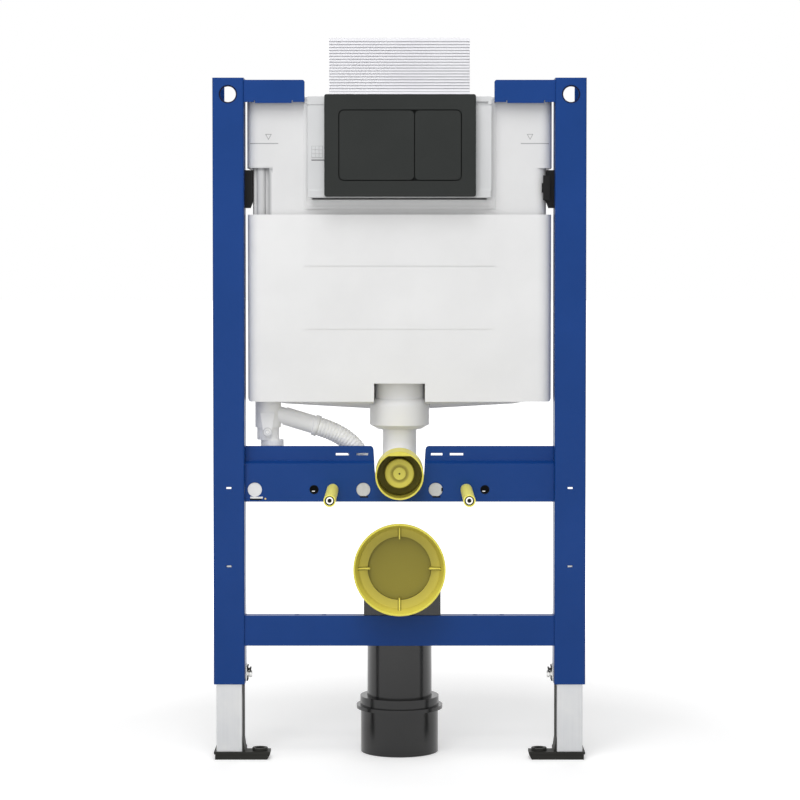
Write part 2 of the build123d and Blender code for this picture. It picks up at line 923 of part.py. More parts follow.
def make_tank_body():
    tank = tank_form(0)
    tank += block(
        -panel_half_width, panel_half_width, tank_front - upper_panel_relief, tank_front + tank_wall,
        tank_bottom + upper_panel_rise, tank_split,
    )
    tank -= block(
        -panel_half_width, panel_half_width, tank_front - over, tank_front + lower_panel_recess,
        tank_bottom - over, tank_bottom + lower_panel_height,
    )
    return tank - tank_form(tank_wall) - rod_z(
        flush_pipe_radius, notch_top - over, notch_top + tank_wall + over, 0, outlet_axis_y
    )


# Upper body of the cistern
def hood_form(inset):
    """The upper cistern's body drawn in from its outside by an inset."""
    depth = tank_rear - hood_front - 2 * inset
    waist = RectangleRounded(2 * (hood_waist_half_width - inset), depth, hood_edge_radius - inset)
    shoulder = RectangleRounded(2 * (hood_half_width - inset), depth, hood_edge_radius - inset)
    place = Pos(0, (hood_front + tank_rear) / 2, 0)
    form = place * Pos(0, 0, tank_split) * extrude(waist, amount=hood_waist_height + inset + over)
    form += place * Pos(0, 0, hood_waist_top + inset) * extrude(
        shoulder, amount=hood_top - hood_waist_top - 2 * inset
    )
    # Pocket beside the left post
    pocket_far = hood_waist_half_width - pocket_margin
    return form - block(
        -pocket_far - inset, pocket_width - pocket_far + inset, hood_front - over, hood_front + pocket_depth + inset,
        tank_split - over, hood_waist_top + inset,
    )


def pocket_rib():
    """The half-round rib down the middle of the pocket."""
    pocket_far = hood_waist_half_width - pocket_margin
    return rod_z(
        pocket_rib_radius, tank_split, hood_waist_top + over,
        pocket_width / 2 - pocket_far, hood_front + pocket_depth,
    )


def hood_rim():
    """The raised rim that runs down both sides of the service frame and under it."""
    inner = service_frame_half_width + hood_rim_gap
    outer = inner + hood_rim_width
    bottom = service_frame_bottom - hood_rim_below
    height = hood_top - bottom
    front = facing(0, hood_front, bottom + height / 2)
    outline = RectangleRounded(2 * outer, height, hood_rim_radius)
    outline += Pos(0, hood_rim_radius) * Rectangle(2 * outer, height - 2 * hood_rim_radius)
    opening = Pos(0, hood_rim_width) * RectangleRounded(2 * inner, height, hood_rim_radius - hood_rim_width)
    return front * extrude(outline - opening, amount=hood_rim_height)


def make_tank_hood():
    hood = hood_form(0) + pocket_rib() + hood_rim()
    hood -= hood_form(tank_wall)
    hood -= block(
        -service_hole_half_width, service_hole_half_width, hood_front - over, hood_front + tank_wall + over,
        service_hole_bottom, service_hole_top,
    )
    # The slot that the service frame's lower edge hooks into
    hood -= block(
        -hook_slot_half_width, hook_slot_half_width, hood_front - over, hood_front + tank_wall + over,
        service_frame_bottom - hook_slot_height, service_frame_bottom,
    )
    return hood


def make_clip():
    bottom = tank_split + clip_rise
    front = hood_front + clip_setback
    clip = block(
        hood_waist_half_width, post_inner_face, front, front + clip_depth, bottom, bottom + clip_height
    )
    return clip - along_y(
        (
            (hood_waist_half_width, bottom),
            (hood_waist_half_width, bottom + clip_chamfer_height),
            (hood_waist_half_width + clip_chamfer_width, bottom),
        ),
        front, front + clip_depth,
    )


def clip_lug():
    """The lug of the right clip that laps over the cistern's front edge."""
    edge = hood_waist_half_width - lug_reach
    low = tank_split + clip_rise + lug_rise
    high = low + lug_height
    middle = (low + high) / 2
    front = hood_front - fit_gap - lug_thickness
    rear = hood_front - fit_gap
    root = hood_waist_half_width + lug_root
    lug = along_y(
        (
            (root, low),
            (edge, low),
            (edge, middle - bump_height / 2),
            (edge - bump_reach, middle - bump_height / 2),
            (edge - bump_reach, middle + bump_height / 2),
            (edge, middle + bump_height / 2),
            (edge, high),
            (root, high),
        ),
        front, rear,
    )
    return lug + block(hood_waist_half_width, root, front, hood_front + clip_setback + over, low, high)


# Service frame
def make_service_frame():
    step_top = service_frame_bottom + service_step_height
    frame = block(
        -service_frame_half_width, service_frame_half_width, service_frame_front, hood_front, step_top, hood_top
    )
    tail = service_frame_half_width - service_step
    frame += block(-tail, tail, service_frame_front, hood_front, service_frame_bottom, step_top)
    frame -= block(
        -service_hole_half_width, service_hole_half_width, service_frame_front - over, hood_front + over,
        service_hole_bottom, service_hole_top,
    )
    groove_top = hood_top - service_groove_drop
    groove_floor = service_groove
    groove = block(
        -service_frame_half_width - over, service_frame_half_width + over,
        service_frame_front - over, hood_front + over, groove_top - service_groove, groove_top,
    )
    groove -= block(
        groove_floor - service_frame_half_width, service_frame_half_width - groove_floor,
        service_frame_front + groove_floor, hood_front + 2 * over, groove_top - service_groove, groove_top,
    )
    frame -= groove
    slot_top = hood_top - service_slot_drop
    frame -= block(
        service_slot_near, service_slot_far, service_frame_front - over, service_frame_front + service_slot_depth,
        slot_top - service_slot_height, slot_top,
    )
    return frame


# Protection box
def make_protection_box():
    rear = box_front + box_depth
    top = hood_top + box_height
    outer = block(-box_half_width, box_half_width, box_front, rear, hood_top, top)
    inner = block(
        box_wall - box_half_width, box_half_width - box_wall, box_front + box_wall, rear - box_wall,
        hood_top - over, top - box_wall,
    )
    box = outer - inner
    core = block(
        groove_depth - box_half_width, box_half_width - groove_depth,
        box_front + groove_depth, rear - groove_depth, hood_top, top,
    )
    for number in range(groove_count):
        level = top - groove_first_drop - number * groove_pitch
        band = block(
            -box_half_width - over, box_half_width + over, box_front - over, rear + over,
            level - groove_width / 2, level + groove_width / 2,
        )
        box -= band - core
    return box


# Flush plate and its buttons
def full_button_span():
    """Left and right edges of the large button."""
    return plate_centre - button_half_width, button_split - button_gap / 2


def small_button_span():
    """Left and right edges of the small button."""
    return button_split + button_gap / 2, plate_centre + button_half_width


def guide_places(left, right):
    """Centres of the two guide pins of one button."""
    middle = (left + right) / 2
    quarter = button_height / 4
    return [(middle, button_bottom + quarter), (middle, button_top - quarter)]


def make_flush_plate():
    width = 2 * plate_half_width
    middle = (plate_top + plate_bottom) / 2
    front = facing(plate_centre, plate_front, middle)
    outer = front * extrude(RectangleRounded(width, plate_height, plate_corner_radius), amount=-plate_depth)
    hollow = front * Pos(0, 0, -plate_face) * extrude(
        Rectangle(width - 2 * plate_wall, plate_height - 2 * plate_wall), amount=-plate_depth
    )
    window = front * extrude(
        Pos(0, (button_top + button_bottom) / 2 - middle) * RectangleRounded(
            2 * (button_half_width + button_gap), button_height + 2 * button_gap,
            button_corner_radius + button_gap,
        ),
        amount=-plate_face * 2, both=True,
    )
    carrier = block(
        plate_centre - plate_half_width + plate_wall, plate_centre + plate_half_width - plate_wall,
        carrier_front, carrier_front + carrier_thickness,
        plate_bottom + plate_wall, plate_top - plate_wall,
    )
    for x, z in guide_places(*full_button_span()) + guide_places(*small_button_span()):
        carrier -= rod_y(
            guide_radius + fit_gap, carrier_front - over, carrier_front + carrier_thickness + over, x, z
        )
    return outer - hollow - window + carrier


def make_button(left, right):
    front = facing((left + right) / 2, plate_front, (button_bottom + button_top) / 2)
    outline = RectangleRounded(right - left, button_height, button_corner_radius)
    button = front * extrude(outline, amount=-button_thickness)
    panel_rear = plate_front + button_thickness
    for x, z in guide_places(left, right):
        button += rod_y(guide_radius, panel_rear, panel_rear + guide_length, x, z)
    return button


# Supply fitting and conduit
def hose_line():
    """Corners of the hose's middle line, from the supply fitting to the socket."""
    start_x = supply_x + hose_start_reach
    start_z = tank_bottom - hose_start_drop
    across = hose_end_offset - service_hole_place - start_x
    down = start_z - stud_level - hose_end_rise
    shares = ((0, 0), *hose_shares, (1, 1))
    return [(start_x + across * run, supply_y, start_z - down * fall) for run, fall in shares]


def arc_radii(points):
    """The radius of each corner's arc, as large as the shorter of its two runs allows."""
    radii = []
    for before, corner, after in zip(points, points[1:], points[2:]):
        first = Vector(*corner) - Vector(*before)
        second = Vector(*after) - Vector(*corner)
        turn = math.radians(first.get_angle(second))
        radii.append(hose_arc_share * min(first.length, second.length) / math.tan(turn / 2))
    return radii


def make_supply_fitting(tank):
    shoulder_bottom = tank_bottom - supply_shoulder_drop
    waist_bottom = shoulder_bottom - supply_waist_height
    foot_bottom = waist_bottom - supply_foot_height
    top = tank_bottom + supply_head_room
    fitting = turned_z(
        (
            (0, waist_bottom),
            (supply_waist_radius, waist_bottom),
            (supply_waist_radius, shoulder_bottom),
            (supply_shoulder_radius, shoulder_bottom),
            (supply_shoulder_radius, top),
            (0, top),
        ),
        supply_x, supply_y,
    )
    fitting += rod_z(
        supply_foot_radius, foot_bottom, waist_bottom, supply_x + supply_foot_offset, supply_y
    )
    line = hose_line()
    fitting += stub(supply_branch_radius, line[0], line[1], supply_branch_length)
    # Tongue with a round boss on the front
    tongue_front = supply_y - supply_shoulder_radius - supply_tongue_proud
    tongue_low = tank_bottom - supply_tongue_drop
    outline = make_face(Polyline(
        (-supply_tongue_end_radius, 0),
        (supply_tongue_end_radius, 0),
        (supply_tongue_half_width, supply_tongue_length),
        (-supply_tongue_half_width, supply_tongue_length),
        close=True,
    ))
    outline += Circle(supply_tongue_end_radius)
    fitting += facing(supply_x, tongue_front, tongue_low) * extrude(outline, amount=-supply_tongue_depth)
    fitting += rod_y(supply_boss_radius, tongue_front - supply_boss_height, tongue_front, supply_x, tongue_low)
    return fitting - tank


def make_hose():
    line = hose_line()
    radii = arc_radii(line)
    print("hose radii", [round(radius, 1) for radius in radii])
    path = FilletPolyline(*line, radius=radii)
    print("hose length", round(path.length, 1))
    start = Plane(origin=line[0], z_dir=path % 0)
    return sweep(start * Circle(hose_radius), path=path)


def make_conduit_socket():
    line = hose_line()
    place = -service_hole_place
    socket = rod_y(
        plug_flange_radius, middle_bar_wall_rear, supply_y + plug_flange_radius, place, stud_level
    )
    socket += stub(socket_neck_radius, line[-1], line[-2], socket_neck_length)
    socket += rod_y(
        service_hole_radius - fit_gap, middle_bar_front + plug_recess, middle_bar_wall_rear, place, stud_level
    )
    return socket


os.makedirs("parts", exist_ok=True)

save_pair("post", make_post())
save_pair("leg", make_leg())
save_pair("foot", make_foot())
save_pair("clamp_screw", make_clamp_screw())
save_pair("top_arm", make_arm())
save("middle_crossbar", make_middle_bar())
save("lower_crossbar", make_lower_bar())
save_pair("stud", make_stud())
save_pair("stud_sleeve", make_sleeve())
save("right_hole_plug", make_plug(service_hole_radius, service_hole_place))
save("water_hole_plug", make_plug(water_hole_radius, -water_hole_place))
save("flush_bend", make_flush_bend())
save("flush_cap", make_flush_cap())
save("outlet_collar", make_collar())
save("drain_bend", make_drain_bend())
save("drain_cap", make_drain_cap())
save("drain_bracket", make_drain_bracket())
save("drain_coupling", make_drain_coupling())
save("tank_body", make_tank_body())
save("tank_hood", make_tank_hood())
save("left_side_clip", mirror(make_clip(), about=Plane.YZ))
save("right_side_clip", make_clip() + clip_lug())
save("service_frame", make_service_frame())
save("protection_box", make_protection_box())
save("flush_plate", make_flush_plate())
save("full_flush_button", make_button(*full_button_span()))
save("small_flush_button", make_button(*small_button_span()))
save("supply_fitting", make_supply_fitting(tank_form(0)))
save("conduit_hose", make_hose())
save("conduit_socket", make_conduit_socket())
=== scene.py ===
import bpy
import bmesh
import json
import math
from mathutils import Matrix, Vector


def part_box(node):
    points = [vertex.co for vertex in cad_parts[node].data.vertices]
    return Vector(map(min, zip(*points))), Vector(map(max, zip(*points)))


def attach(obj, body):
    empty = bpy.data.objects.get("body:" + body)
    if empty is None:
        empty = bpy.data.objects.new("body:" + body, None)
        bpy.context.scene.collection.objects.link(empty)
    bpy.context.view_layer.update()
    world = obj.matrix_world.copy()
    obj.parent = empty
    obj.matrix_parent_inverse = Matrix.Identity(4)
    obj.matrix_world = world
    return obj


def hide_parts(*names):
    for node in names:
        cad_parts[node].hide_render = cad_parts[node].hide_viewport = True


# Looks of a wall hung toilet frame. Everything is in metres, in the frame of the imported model.
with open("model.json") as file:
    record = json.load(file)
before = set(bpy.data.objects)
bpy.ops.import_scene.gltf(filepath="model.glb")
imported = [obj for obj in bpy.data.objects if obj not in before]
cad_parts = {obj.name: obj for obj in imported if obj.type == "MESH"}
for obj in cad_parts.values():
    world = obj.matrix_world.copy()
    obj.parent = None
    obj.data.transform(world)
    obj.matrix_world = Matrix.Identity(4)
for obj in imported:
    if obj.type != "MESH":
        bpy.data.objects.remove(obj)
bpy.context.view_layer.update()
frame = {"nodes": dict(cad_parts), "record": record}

MM = 0.001

# The posts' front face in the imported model. Sizes below are millimetres, with Y measured from that face.
POST_FRONT = 9.5 * MM
SHARP_ANGLE = 35
MERGE_DISTANCE = 0.002
SOFT_EDGE = 0.7

# Levels and places of the parts that the details belong to
STUD_LEVEL = 363.7
FLUSH_LEVEL = 388.2
DRAIN_LEVEL = 262.0
STUD_PLACE = 90.0
WIDE_STUD_PLACE = 115.0
DISC_PLACE = 48.7
BAR_FACE = 12.0

# Rings in the anchor holes, dark blue as painted shade, and liners in the slots of the posts
ANCHOR_PLACE = 229.0
ANCHOR_HEIGHT = 894.0
ANCHOR_RING_RADII = (10.4, 14.0)
ANCHOR_RING_DEPTHS = (2.05, 3.2)
POST_SLOT_LEVELS = (261.4, 367.0)
POST_SLOT_OUTER = (7.4, 3.2)
POST_SLOT_INNER = (6.6, 2.5)
POST_SLOT_DEPTHS = (0.3, 1.9)

# Middle crossbar. The insert's profile is (radius, depth), spans and rises are from the middle of the hole.
INSERT_PROFILE = (
    (6.1, 12.6), (5.1, 12.6), (5.1, 19.0), (0, 19.0), (0, 20.5), (8.5, 20.5), (8.5, 15.05), (6.1, 15.05),
)
INSERT_TAB_SPAN = (-3.6, 0.8)
INSERT_TAB_DEPTHS = (18.2, 18.9)
INSERT_TAB_RISES = (-3.4, -1.9)
# Painted shadows below the discs, and a dark spot beside the right disc
DISC_SHADOW_SPAN = (-4.5, 6.5)
DISC_SHADOW_RISES = (-10.8, -8.6)
DISC_DARK_SPOT_SPAN = (7.6, 9.8)
DISC_DARK_SPOT_RISES = (-2.2, 2.6)
PLUG_CLIP_SPAN = (-201.0, -184.0)
PLUG_CLIP_HEIGHTS = (351.7, 354.2)
PLUG_CLIP_PROUD = 0.9
# Painted shadow below the water plug's clip
PLUG_SHADOW_SPAN = (-201.5, -186.0)
PLUG_SHADOW_HEIGHTS = (349.6, 351.6)
PLUG_PIN_PLACE = (-180.7, 351.4)
PLUG_PIN_RADIUS = 1.4
PLUG_PIN_PROUD = 0.7
MARK_PROUD = 0.12
MARK_SUNK = 0.1

# Rounded rear corners of the lower tank body
TANK_CORNER_PLACE = (186.0, 108.0)
TANK_CORNER_RADII = (15.0, 18.0)
TANK_CORNER_SPAN = (33.2, 56.8)
TANK_CORNER_HEIGHTS = (482.8, 733.5)
TANK_CORNER_STEPS = 6

# Hood, its level marks and its border
HOOD_FRONT = 16.0
HOOD_EDGE_RADIUS = 16.0
HOOD_FLAT_END = 189.0
LEVEL_LINE_HEIGHT = 829.0
LEVEL_LINE_START = 162.6
LEVEL_LINE_REACH = 200.5
LEVEL_LINE_STEPS = 8
LEVEL_LINE_SECTION = ((-0.3, -0.55), (0.15, -0.55), (0.3, -0.3), (0.3, 0.3), (0.15, 0.55), (-0.3, 0.55))
TRIANGLE_PLACES = {"left": -175.75, "right": 175.05}
TRIANGLE_TOP = 841.6
TRIANGLE_TIP = 833.6
TRIANGLE_HALF_WIDTH = 4.35
TRIANGLE_STROKE = 0.75
TRIANGLE_PROUD = 0.3
BORDER_HALF_WIDTH = 129.0
BORDER_SLOT_HALF_WIDTH = 117.2
BORDER_TOP = 889.0
BORDER_BOTTOM = 741.0
BORDER_SLOT_FOOT = 753.6
BORDER_PROUD = 0.6
BORDER_SUNK = 0.2
BORDER_SOFTNESS = 0.4

# The pocket's upper inner corner, and the painted shade that sits along it
POCKET_CORNER = (-174.6, 794.5)
POCKET_OUTER_EDGE = -196.5
POCKET_SHADE = 6.0
POCKET_FADE = 4.0
POCKET_DEPTH_OF_SHADE = 0.6

# Protection box
FIRST_GROOVE_DROP = 5.2
GROOVE_PITCH = 3.91
GROOVE_WIDTH = 1.4

# Service frame
SERVICE_FRONT = -5.0
PLATE_LEFT = -99.95
CATCH_SPAN = (-117.5, -102.0)
CATCH_HEIGHTS = (809.0, 825.0)
CATCH_PROUD = 0.3
CATCH_TILES = 3
CATCH_MARGIN = 0.4
CATCH_TILE_GAP = 0.3
CATCH_TILE_PROUD = (0.7, 0.25)
CATCH_TILE_EDGE = 0.2
# A painted shadow line under the catch
CATCH_SHADOW_HEIGHTS = (805.2, 806.8)
CATCH_SHADOW_PROUD = 0.1
LEDGE_LEFT = -122.0
LEDGE_HEIGHTS = (756.3, 766.2)
LEDGE_PROUD = 0.6
LEDGE_RIGHT_GAP = 2.0
LEDGE_EDGE = 0.4
SERVICE_SUNK = 0.2

# Studs
SLEEVE_BORE = 6.2
STUD_TIP = -141.0
STUD_FACE_RADIUS = 4.7
STUD_CENTRE_RADIUS = 2.7
STUD_FACE_PROUD = 0.35
# A ring of painted shade over the gap and the chamfer at the stud's tip
STUD_SHADE_PROUD = 0.25
STUD_FACE_DEPTH = 0.6
STUD_SHADE_DEPTH = 1.6
STUD_CORE = 5.5
TAIL_START = 25.5
TAIL_END = 44.5
THREAD_PITCH = 1.75
THREAD_ROOT = 5.6
THREAD_CREST = 6.3
THREAD_FLAT = (0.7, 1.05)

# Guide strips of the legs
STRIP_SPAN = (210.4, 211.2)
STRIP_DEPTHS = ((3.4, 17.5), (27.5, 41.4))
STRIP_HEIGHTS = (10.8, 250.0)

# Clamps. The head's profile is (radius, distance from the middle of the frame).
CLAMP_DEPTH = 22.5
CLAMP_LEVEL = 117.0
CLAMP_HEAD_LEVEL = 113.2
CLAMP_HEAD_PROFILE = (
    (0, 199.2), (4.4, 199.2), (5.0, 199.9), (5.0, 202.6), (4.0, 203.0), (4.0, 203.5),
    (6.2, 204.1), (6.2, 205.8), (0, 205.8),
)
CLAMP_HEAD_SEGMENTS = 12
CLAMP_SHANK_RADIUS = 4.0
CLAMP_SHANK_START = 205.6
CLAMP_SHANK_END = abs(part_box("left_clamp_screw")[0][0]) / MM
CLAMP_SHANK_SEGMENTS = 24
CLAMP_PLATE_SPAN = (205.8, 208.0)
CLAMP_PLATE_HEIGHTS = (105.0, 125.0)
CLAMP_PLATE_HALF_DEPTH = 12
CLAMP_PLATE_EDGE = 0.4
CLAMP_END_SPAN = (204.6, 205.9)
CLAMP_END_HEIGHTS = ((105.2, 107.4), (121.6, 124.4))
CLAMP_HOOK_PARTS = (((201.6, 205.9), (118.9, 120.2)), ((200.6, 202.4), (119.3, 121.8)))
CLAMP_HOOK_HALF_DEPTH = 7
CLAMP_HOOK_EDGE = 0.2

# Supply fitting and conduit hose
SUPPLY_PLACE = -178.5
SUPPLY_BOSS_HEIGHT = 440.0
SUPPLY_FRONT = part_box("supply_fitting")[0][1] / MM - POST_FRONT / MM
SUPPLY_RINGS = ((5.5, 6.3), (2.3, 3.0))
SUPPLY_RING_PROUD = 0.3
HOSE_ROUTE = (
    (-156.0, 460.9), (-134.5, 454.7), (-113.5, 448.0), (-93.5, 441.0),
    (-76.0, 432.0), (-61.5, 419.5), (-51.5, 403.5), (-46.0, 385.0),
)
HOSE_DEPTH = 50.0
ROUTE_RESOLUTION = 16
HOSE_SEGMENTS = 48
HOSE_CUFF_RADIUS = 12.4
HOSE_COLLAR_START = 41.5
HOSE_COLLAR_LENGTH = 6.4
HOSE_COLLAR_RADIUS = 14.4
HOSE_COLLAR_EDGE = 0.8
HOSE_COLLAR_ROUNDING = 0.4
HOSE_RIB_START = 1.0
HOSE_PITCH = 4.4
HOSE_RIB = ((0, 12.45), (0.2, 12.45), (0.4, 12.7), (0.55, 12.95), (0.75, 12.95), (0.9, 12.7))

# Camera, from the photograph's own perspective
IMAGE_SIDE = 800
SENSOR_WIDTH = 36.0
CAMERA_DISTANCE = 3.5
CAMERA_HEIGHT = 0.6907
CAMERA_TILT_DOWN = 2.11
FOCAL_PIXELS = 2616
PRINCIPAL_PIXEL = (399.5, 343)

# Light
DIFFUSE_WORLD = 0.36
LAMP_TARGET = (0, 0, 0.5)
# Name, place, side and power of each lamp
LAMPS = (
    ("front", (-0.5, -3.2, 1.0), 2.2, 32.0),
    ("top", (-0.3, -1.7, 2.6), 1.6, 30.0),
    ("overhead", (-0.1, -0.7, 2.9), 1.2, 12.0),
    ("rear", (0.2, 3.0, 2.2), 2.4, 26.0),
)
FLOOR_HALF_SIZE = 30.0
FLOOR_ALBEDO = 0.5
FLOOR_SEEN_ALBEDO = 0.82
FLOOR_GLOW_NEAR = 0.33
FLOOR_GLOW_FAR = 1.0
FLOOR_NEAR_RADIUS = 0.5
FLOOR_FAR_RADIUS = 1.6


# Node helpers
def srgb(red, green, blue):
    """A colour that is given in 0 to 255, as Blender's linear numbers."""
    linear = []
    for value in (red, green, blue):
        share = value / 255
        linear.append(share / 12.92 if share <= 0.04045 else ((share + 0.055) / 1.055) ** 2.4)
    return (*linear, 1.0)


def new_material(name, roughness, metallic=0.0, specular=0.5):
    """An empty principled material and its node tree."""
    material = bpy.data.materials.new(name)
    material.use_nodes = True
    tree = material.node_tree
    shader = tree.nodes["Principled BSDF"]
    shader.inputs["Roughness"].default_value = roughness
    shader.inputs["Metallic"].default_value = metallic
    shader.inputs["Specular IOR Level"].default_value = specular
    return material, tree, shader


def link(tree, source, target):
    tree.links.new(source, target)


def coordinates(tree, stretch=(1, 1, 1)):
    """Object coordinates, stretched along each axis."""
    place = tree.nodes.new("ShaderNodeTexCoord")
    mapping = tree.nodes.new("ShaderNodeMapping")
    mapping.inputs["Scale"].default_value = stretch
    link(tree, place.outputs["Object"], mapping.inputs["Vector"])
    return mapping.outputs["Vector"]


def noise(tree, scale, detail=2.0, stretch=(1, 1, 1)):
    texture = tree.nodes.new("ShaderNodeTexNoise")
    texture.inputs["Scale"].default_value = scale
    texture.inputs["Detail"].default_value = detail
    link(tree, coordinates(tree, stretch), texture.inputs["Vector"])
    return texture.outputs["Fac"]


def ramp(tree, factor, low, high, start=0.3, end=0.7):
    """A ramp between two colours."""
    node = tree.nodes.new("ShaderNodeValToRGB")
    node.color_ramp.elements[0].position = start
    node.color_ramp.elements[0].color = low
    node.color_ramp.elements[1].position = end
    node.color_ramp.elements[1].color = high
    link(tree, factor, node.inputs["Fac"])
    return node.outputs["Color"]


def spread(tree, factor, low, high, start=0.0, end=1.0):
    """Maps a span of numbers, 0 to 1 unless it is given, onto another."""
    node = tree.nodes.new("ShaderNodeMapRange")
    node.inputs["From Min"].default_value = start
    node.inputs["From Max"].default_value = end
    node.inputs["To Min"].default_value = low
    node.inputs["To Max"].default_value = high
    link(tree, factor, node.inputs["Value"])
    return node.outputs["Result"]


def arithmetic(tree, operation, first, second=None):
    """A math node on sockets or plain numbers."""
    node = tree.nodes.new("ShaderNodeMath")
    node.operation = operation
    for number, value in enumerate((first, second)):
        if value is None:
            continue
        if isinstance(value, (int, float)):
            node.inputs[number].default_value = value
        else:
            link(tree, value, node.inputs[number])
    return node.outputs[0]


def mix_colour(tree, factor, first, second):
    """Mixes two colours, each a socket or a plain colour."""
    node = tree.nodes.new("ShaderNodeMix")
    node.data_type = "RGBA"
    link(tree, factor, node.inputs["Factor"])
    for socket, value in ((node.inputs[6], first), (node.inputs[7], second)):
        if isinstance(value, tuple):
            socket.default_value = value
        else:
            link(tree, value, socket)
    return node.outputs[2]


def bump(tree, shader, height, strength, distance, normal=None):
    node = tree.nodes.new("ShaderNodeBump")
    node.inputs["Strength"].default_value = strength
    node.inputs["Distance"].default_value = distance
    link(tree, height, node.inputs["Height"])
    if normal:
        link(tree, normal, node.inputs["Normal"])
    link(tree, node.outputs["Normal"], shader.inputs["Normal"])


def parts_of_place(tree):
    """Object coordinates as three sockets."""
    place = tree.nodes.new("ShaderNodeTexCoord")
    split = tree.nodes.new("ShaderNodeSeparateXYZ")
    link(tree, place.outputs["Object"], split.inputs[0])
    return split.outputs[0], split.outputs[1], split.outputs[2]


# Materials
def powder_coat():
    """Blue powder coat with a fine orange peel."""
    material, tree, shader = new_material("blue_powder_coat", 0.3, specular=0.18)
    tone = noise(tree, 9, 3)
    link(tree, ramp(tree, tone, srgb(15, 60, 127), srgb(20, 64, 134)), shader.inputs["Base Color"])
    peel = noise(tree, 900, 1)
    link(tree, spread(tree, peel, 0.25, 0.36), shader.inputs["Roughness"])
    edge = tree.nodes.new("ShaderNodeBevel")
    edge.samples = 4
    edge.inputs["Radius"].default_value = SOFT_EDGE * MM
    bump(tree, shader, peel, 0.12, 0.0004, edge.outputs["Normal"])
    return material


def galvanised():
    """Zinc coated steel with a rolled grain along its length."""
    material, tree, shader = new_material("galvanised_steel", 0.4, metallic=0.6)
    grain = noise(tree, 420, 4, (1, 1, 0.02))
    cloud = noise(tree, 26, 3)
    fine = ramp(tree, grain, srgb(211, 212, 214), srgb(219, 220, 221))
    broad = ramp(tree, cloud, srgb(206, 208, 211), srgb(224, 224, 223))
    link(tree, mix_colour(tree, cloud, fine, broad), shader.inputs["Base Color"])
    link(tree, spread(tree, grain, 0.34, 0.5), shader.inputs["Roughness"])
    bump(tree, shader, grain, 0.08, 0.0002)
    return material


def zinc(name="zinc_fasteners", low=(196, 196, 194), high=(232, 232, 230)):
    """Bright zinc plate of screws, nuts and studs."""
    material, tree, shader = new_material(name, 0.28, metallic=0.9)
    tone = noise(tree, 260, 3)
    link(tree, ramp(tree, tone, srgb(*low), srgb(*high)), shader.inputs["Base Color"])
    link(tree, spread(tree, tone, 0.2, 0.38), shader.inputs["Roughness"])
    return material


def moulded(name, low, high, roughness, specular, grain_scale=700, grain_strength=0.12, mottle_scale=14):
    """Moulded plastic with a faint mottle and a fine grain."""
    material, tree, shader = new_material(name, roughness, specular=specular)
    tone = noise(tree, mottle_scale, 4)
    link(tree, ramp(tree, tone, srgb(*low), srgb(*high)), shader.inputs["Base Color"])
    grain = noise(tree, grain_scale, 2)
    link(tree, spread(tree, grain, roughness - 0.06, roughness + 0.06), shader.inputs["Roughness"])
    bump(tree, shader, grain, grain_strength, 0.0003)
    return material


def hood_plastic():
    """White hood plastic, a little darker than the tank body's as painted shade, with painted shade in its
    pocket, darker in the corners.
    """
    material, tree, shader = new_material("hood_white", 0.6, specular=0.1)
    tone = noise(tree, 14, 4)
    # Painted shade: the hood's white is a little darker than the tank body's white.
    base = ramp(tree, tone, srgb(226, 226, 226), srgb(232, 232, 232))
    across, _, height = parts_of_place(tree)
    pocket = spread(tree, across, 0.42, 0.0, POCKET_CORNER[0] * MM, (POCKET_CORNER[0] + 1) * MM)
    side = spread(tree, across, 0.0, 1.0, (POCKET_CORNER[0] - POCKET_SHADE) * MM, POCKET_CORNER[0] * MM)
    over = spread(tree, across, 1.0, 0.0, POCKET_CORNER[0] * MM, (POCKET_CORNER[0] + POCKET_FADE) * MM)
    roof = spread(tree, height, 0.0, 1.0, (POCKET_CORNER[1] - POCKET_SHADE) * MM, POCKET_CORNER[1] * MM)
    above = spread(tree, height, 1.0, 0.0, POCKET_CORNER[1] * MM, (POCKET_CORNER[1] + POCKET_FADE) * MM)
    far_side = (POCKET_CORNER[0] + POCKET_FADE) * MM
    within_side = spread(tree, across, 1.0, 0.0, far_side, far_side + MM)
    outside_edge = spread(tree, across, 0.0, 1.0, (POCKET_OUTER_EDGE - 1) * MM, POCKET_OUTER_EDGE * MM)
    beside = arithmetic(tree, "MULTIPLY", arithmetic(tree, "MULTIPLY", side, over), above)
    below = arithmetic(tree, "MULTIPLY", arithmetic(tree, "MULTIPLY", roof, above), within_side)
    within = arithmetic(tree, "MULTIPLY", arithmetic(tree, "MULTIPLY", pocket, above), outside_edge)
    corners = arithmetic(tree, "MAXIMUM", beside, below)
    darkest = arithmetic(tree, "MAXIMUM", corners, within)
    shade = arithmetic(tree, "MULTIPLY", darkest, POCKET_DEPTH_OF_SHADE)
    # Painted shade greys the pocket, most along its inner side and top.
    link(tree, mix_colour(tree, shade, base, srgb(120, 121, 124)), shader.inputs["Base Color"])
    grain = noise(tree, 300, 2)
    link(tree, spread(tree, grain, 0.54, 0.66), shader.inputs["Roughness"])
    bump(tree, shader, grain, 0.1, 0.0003)
    return material


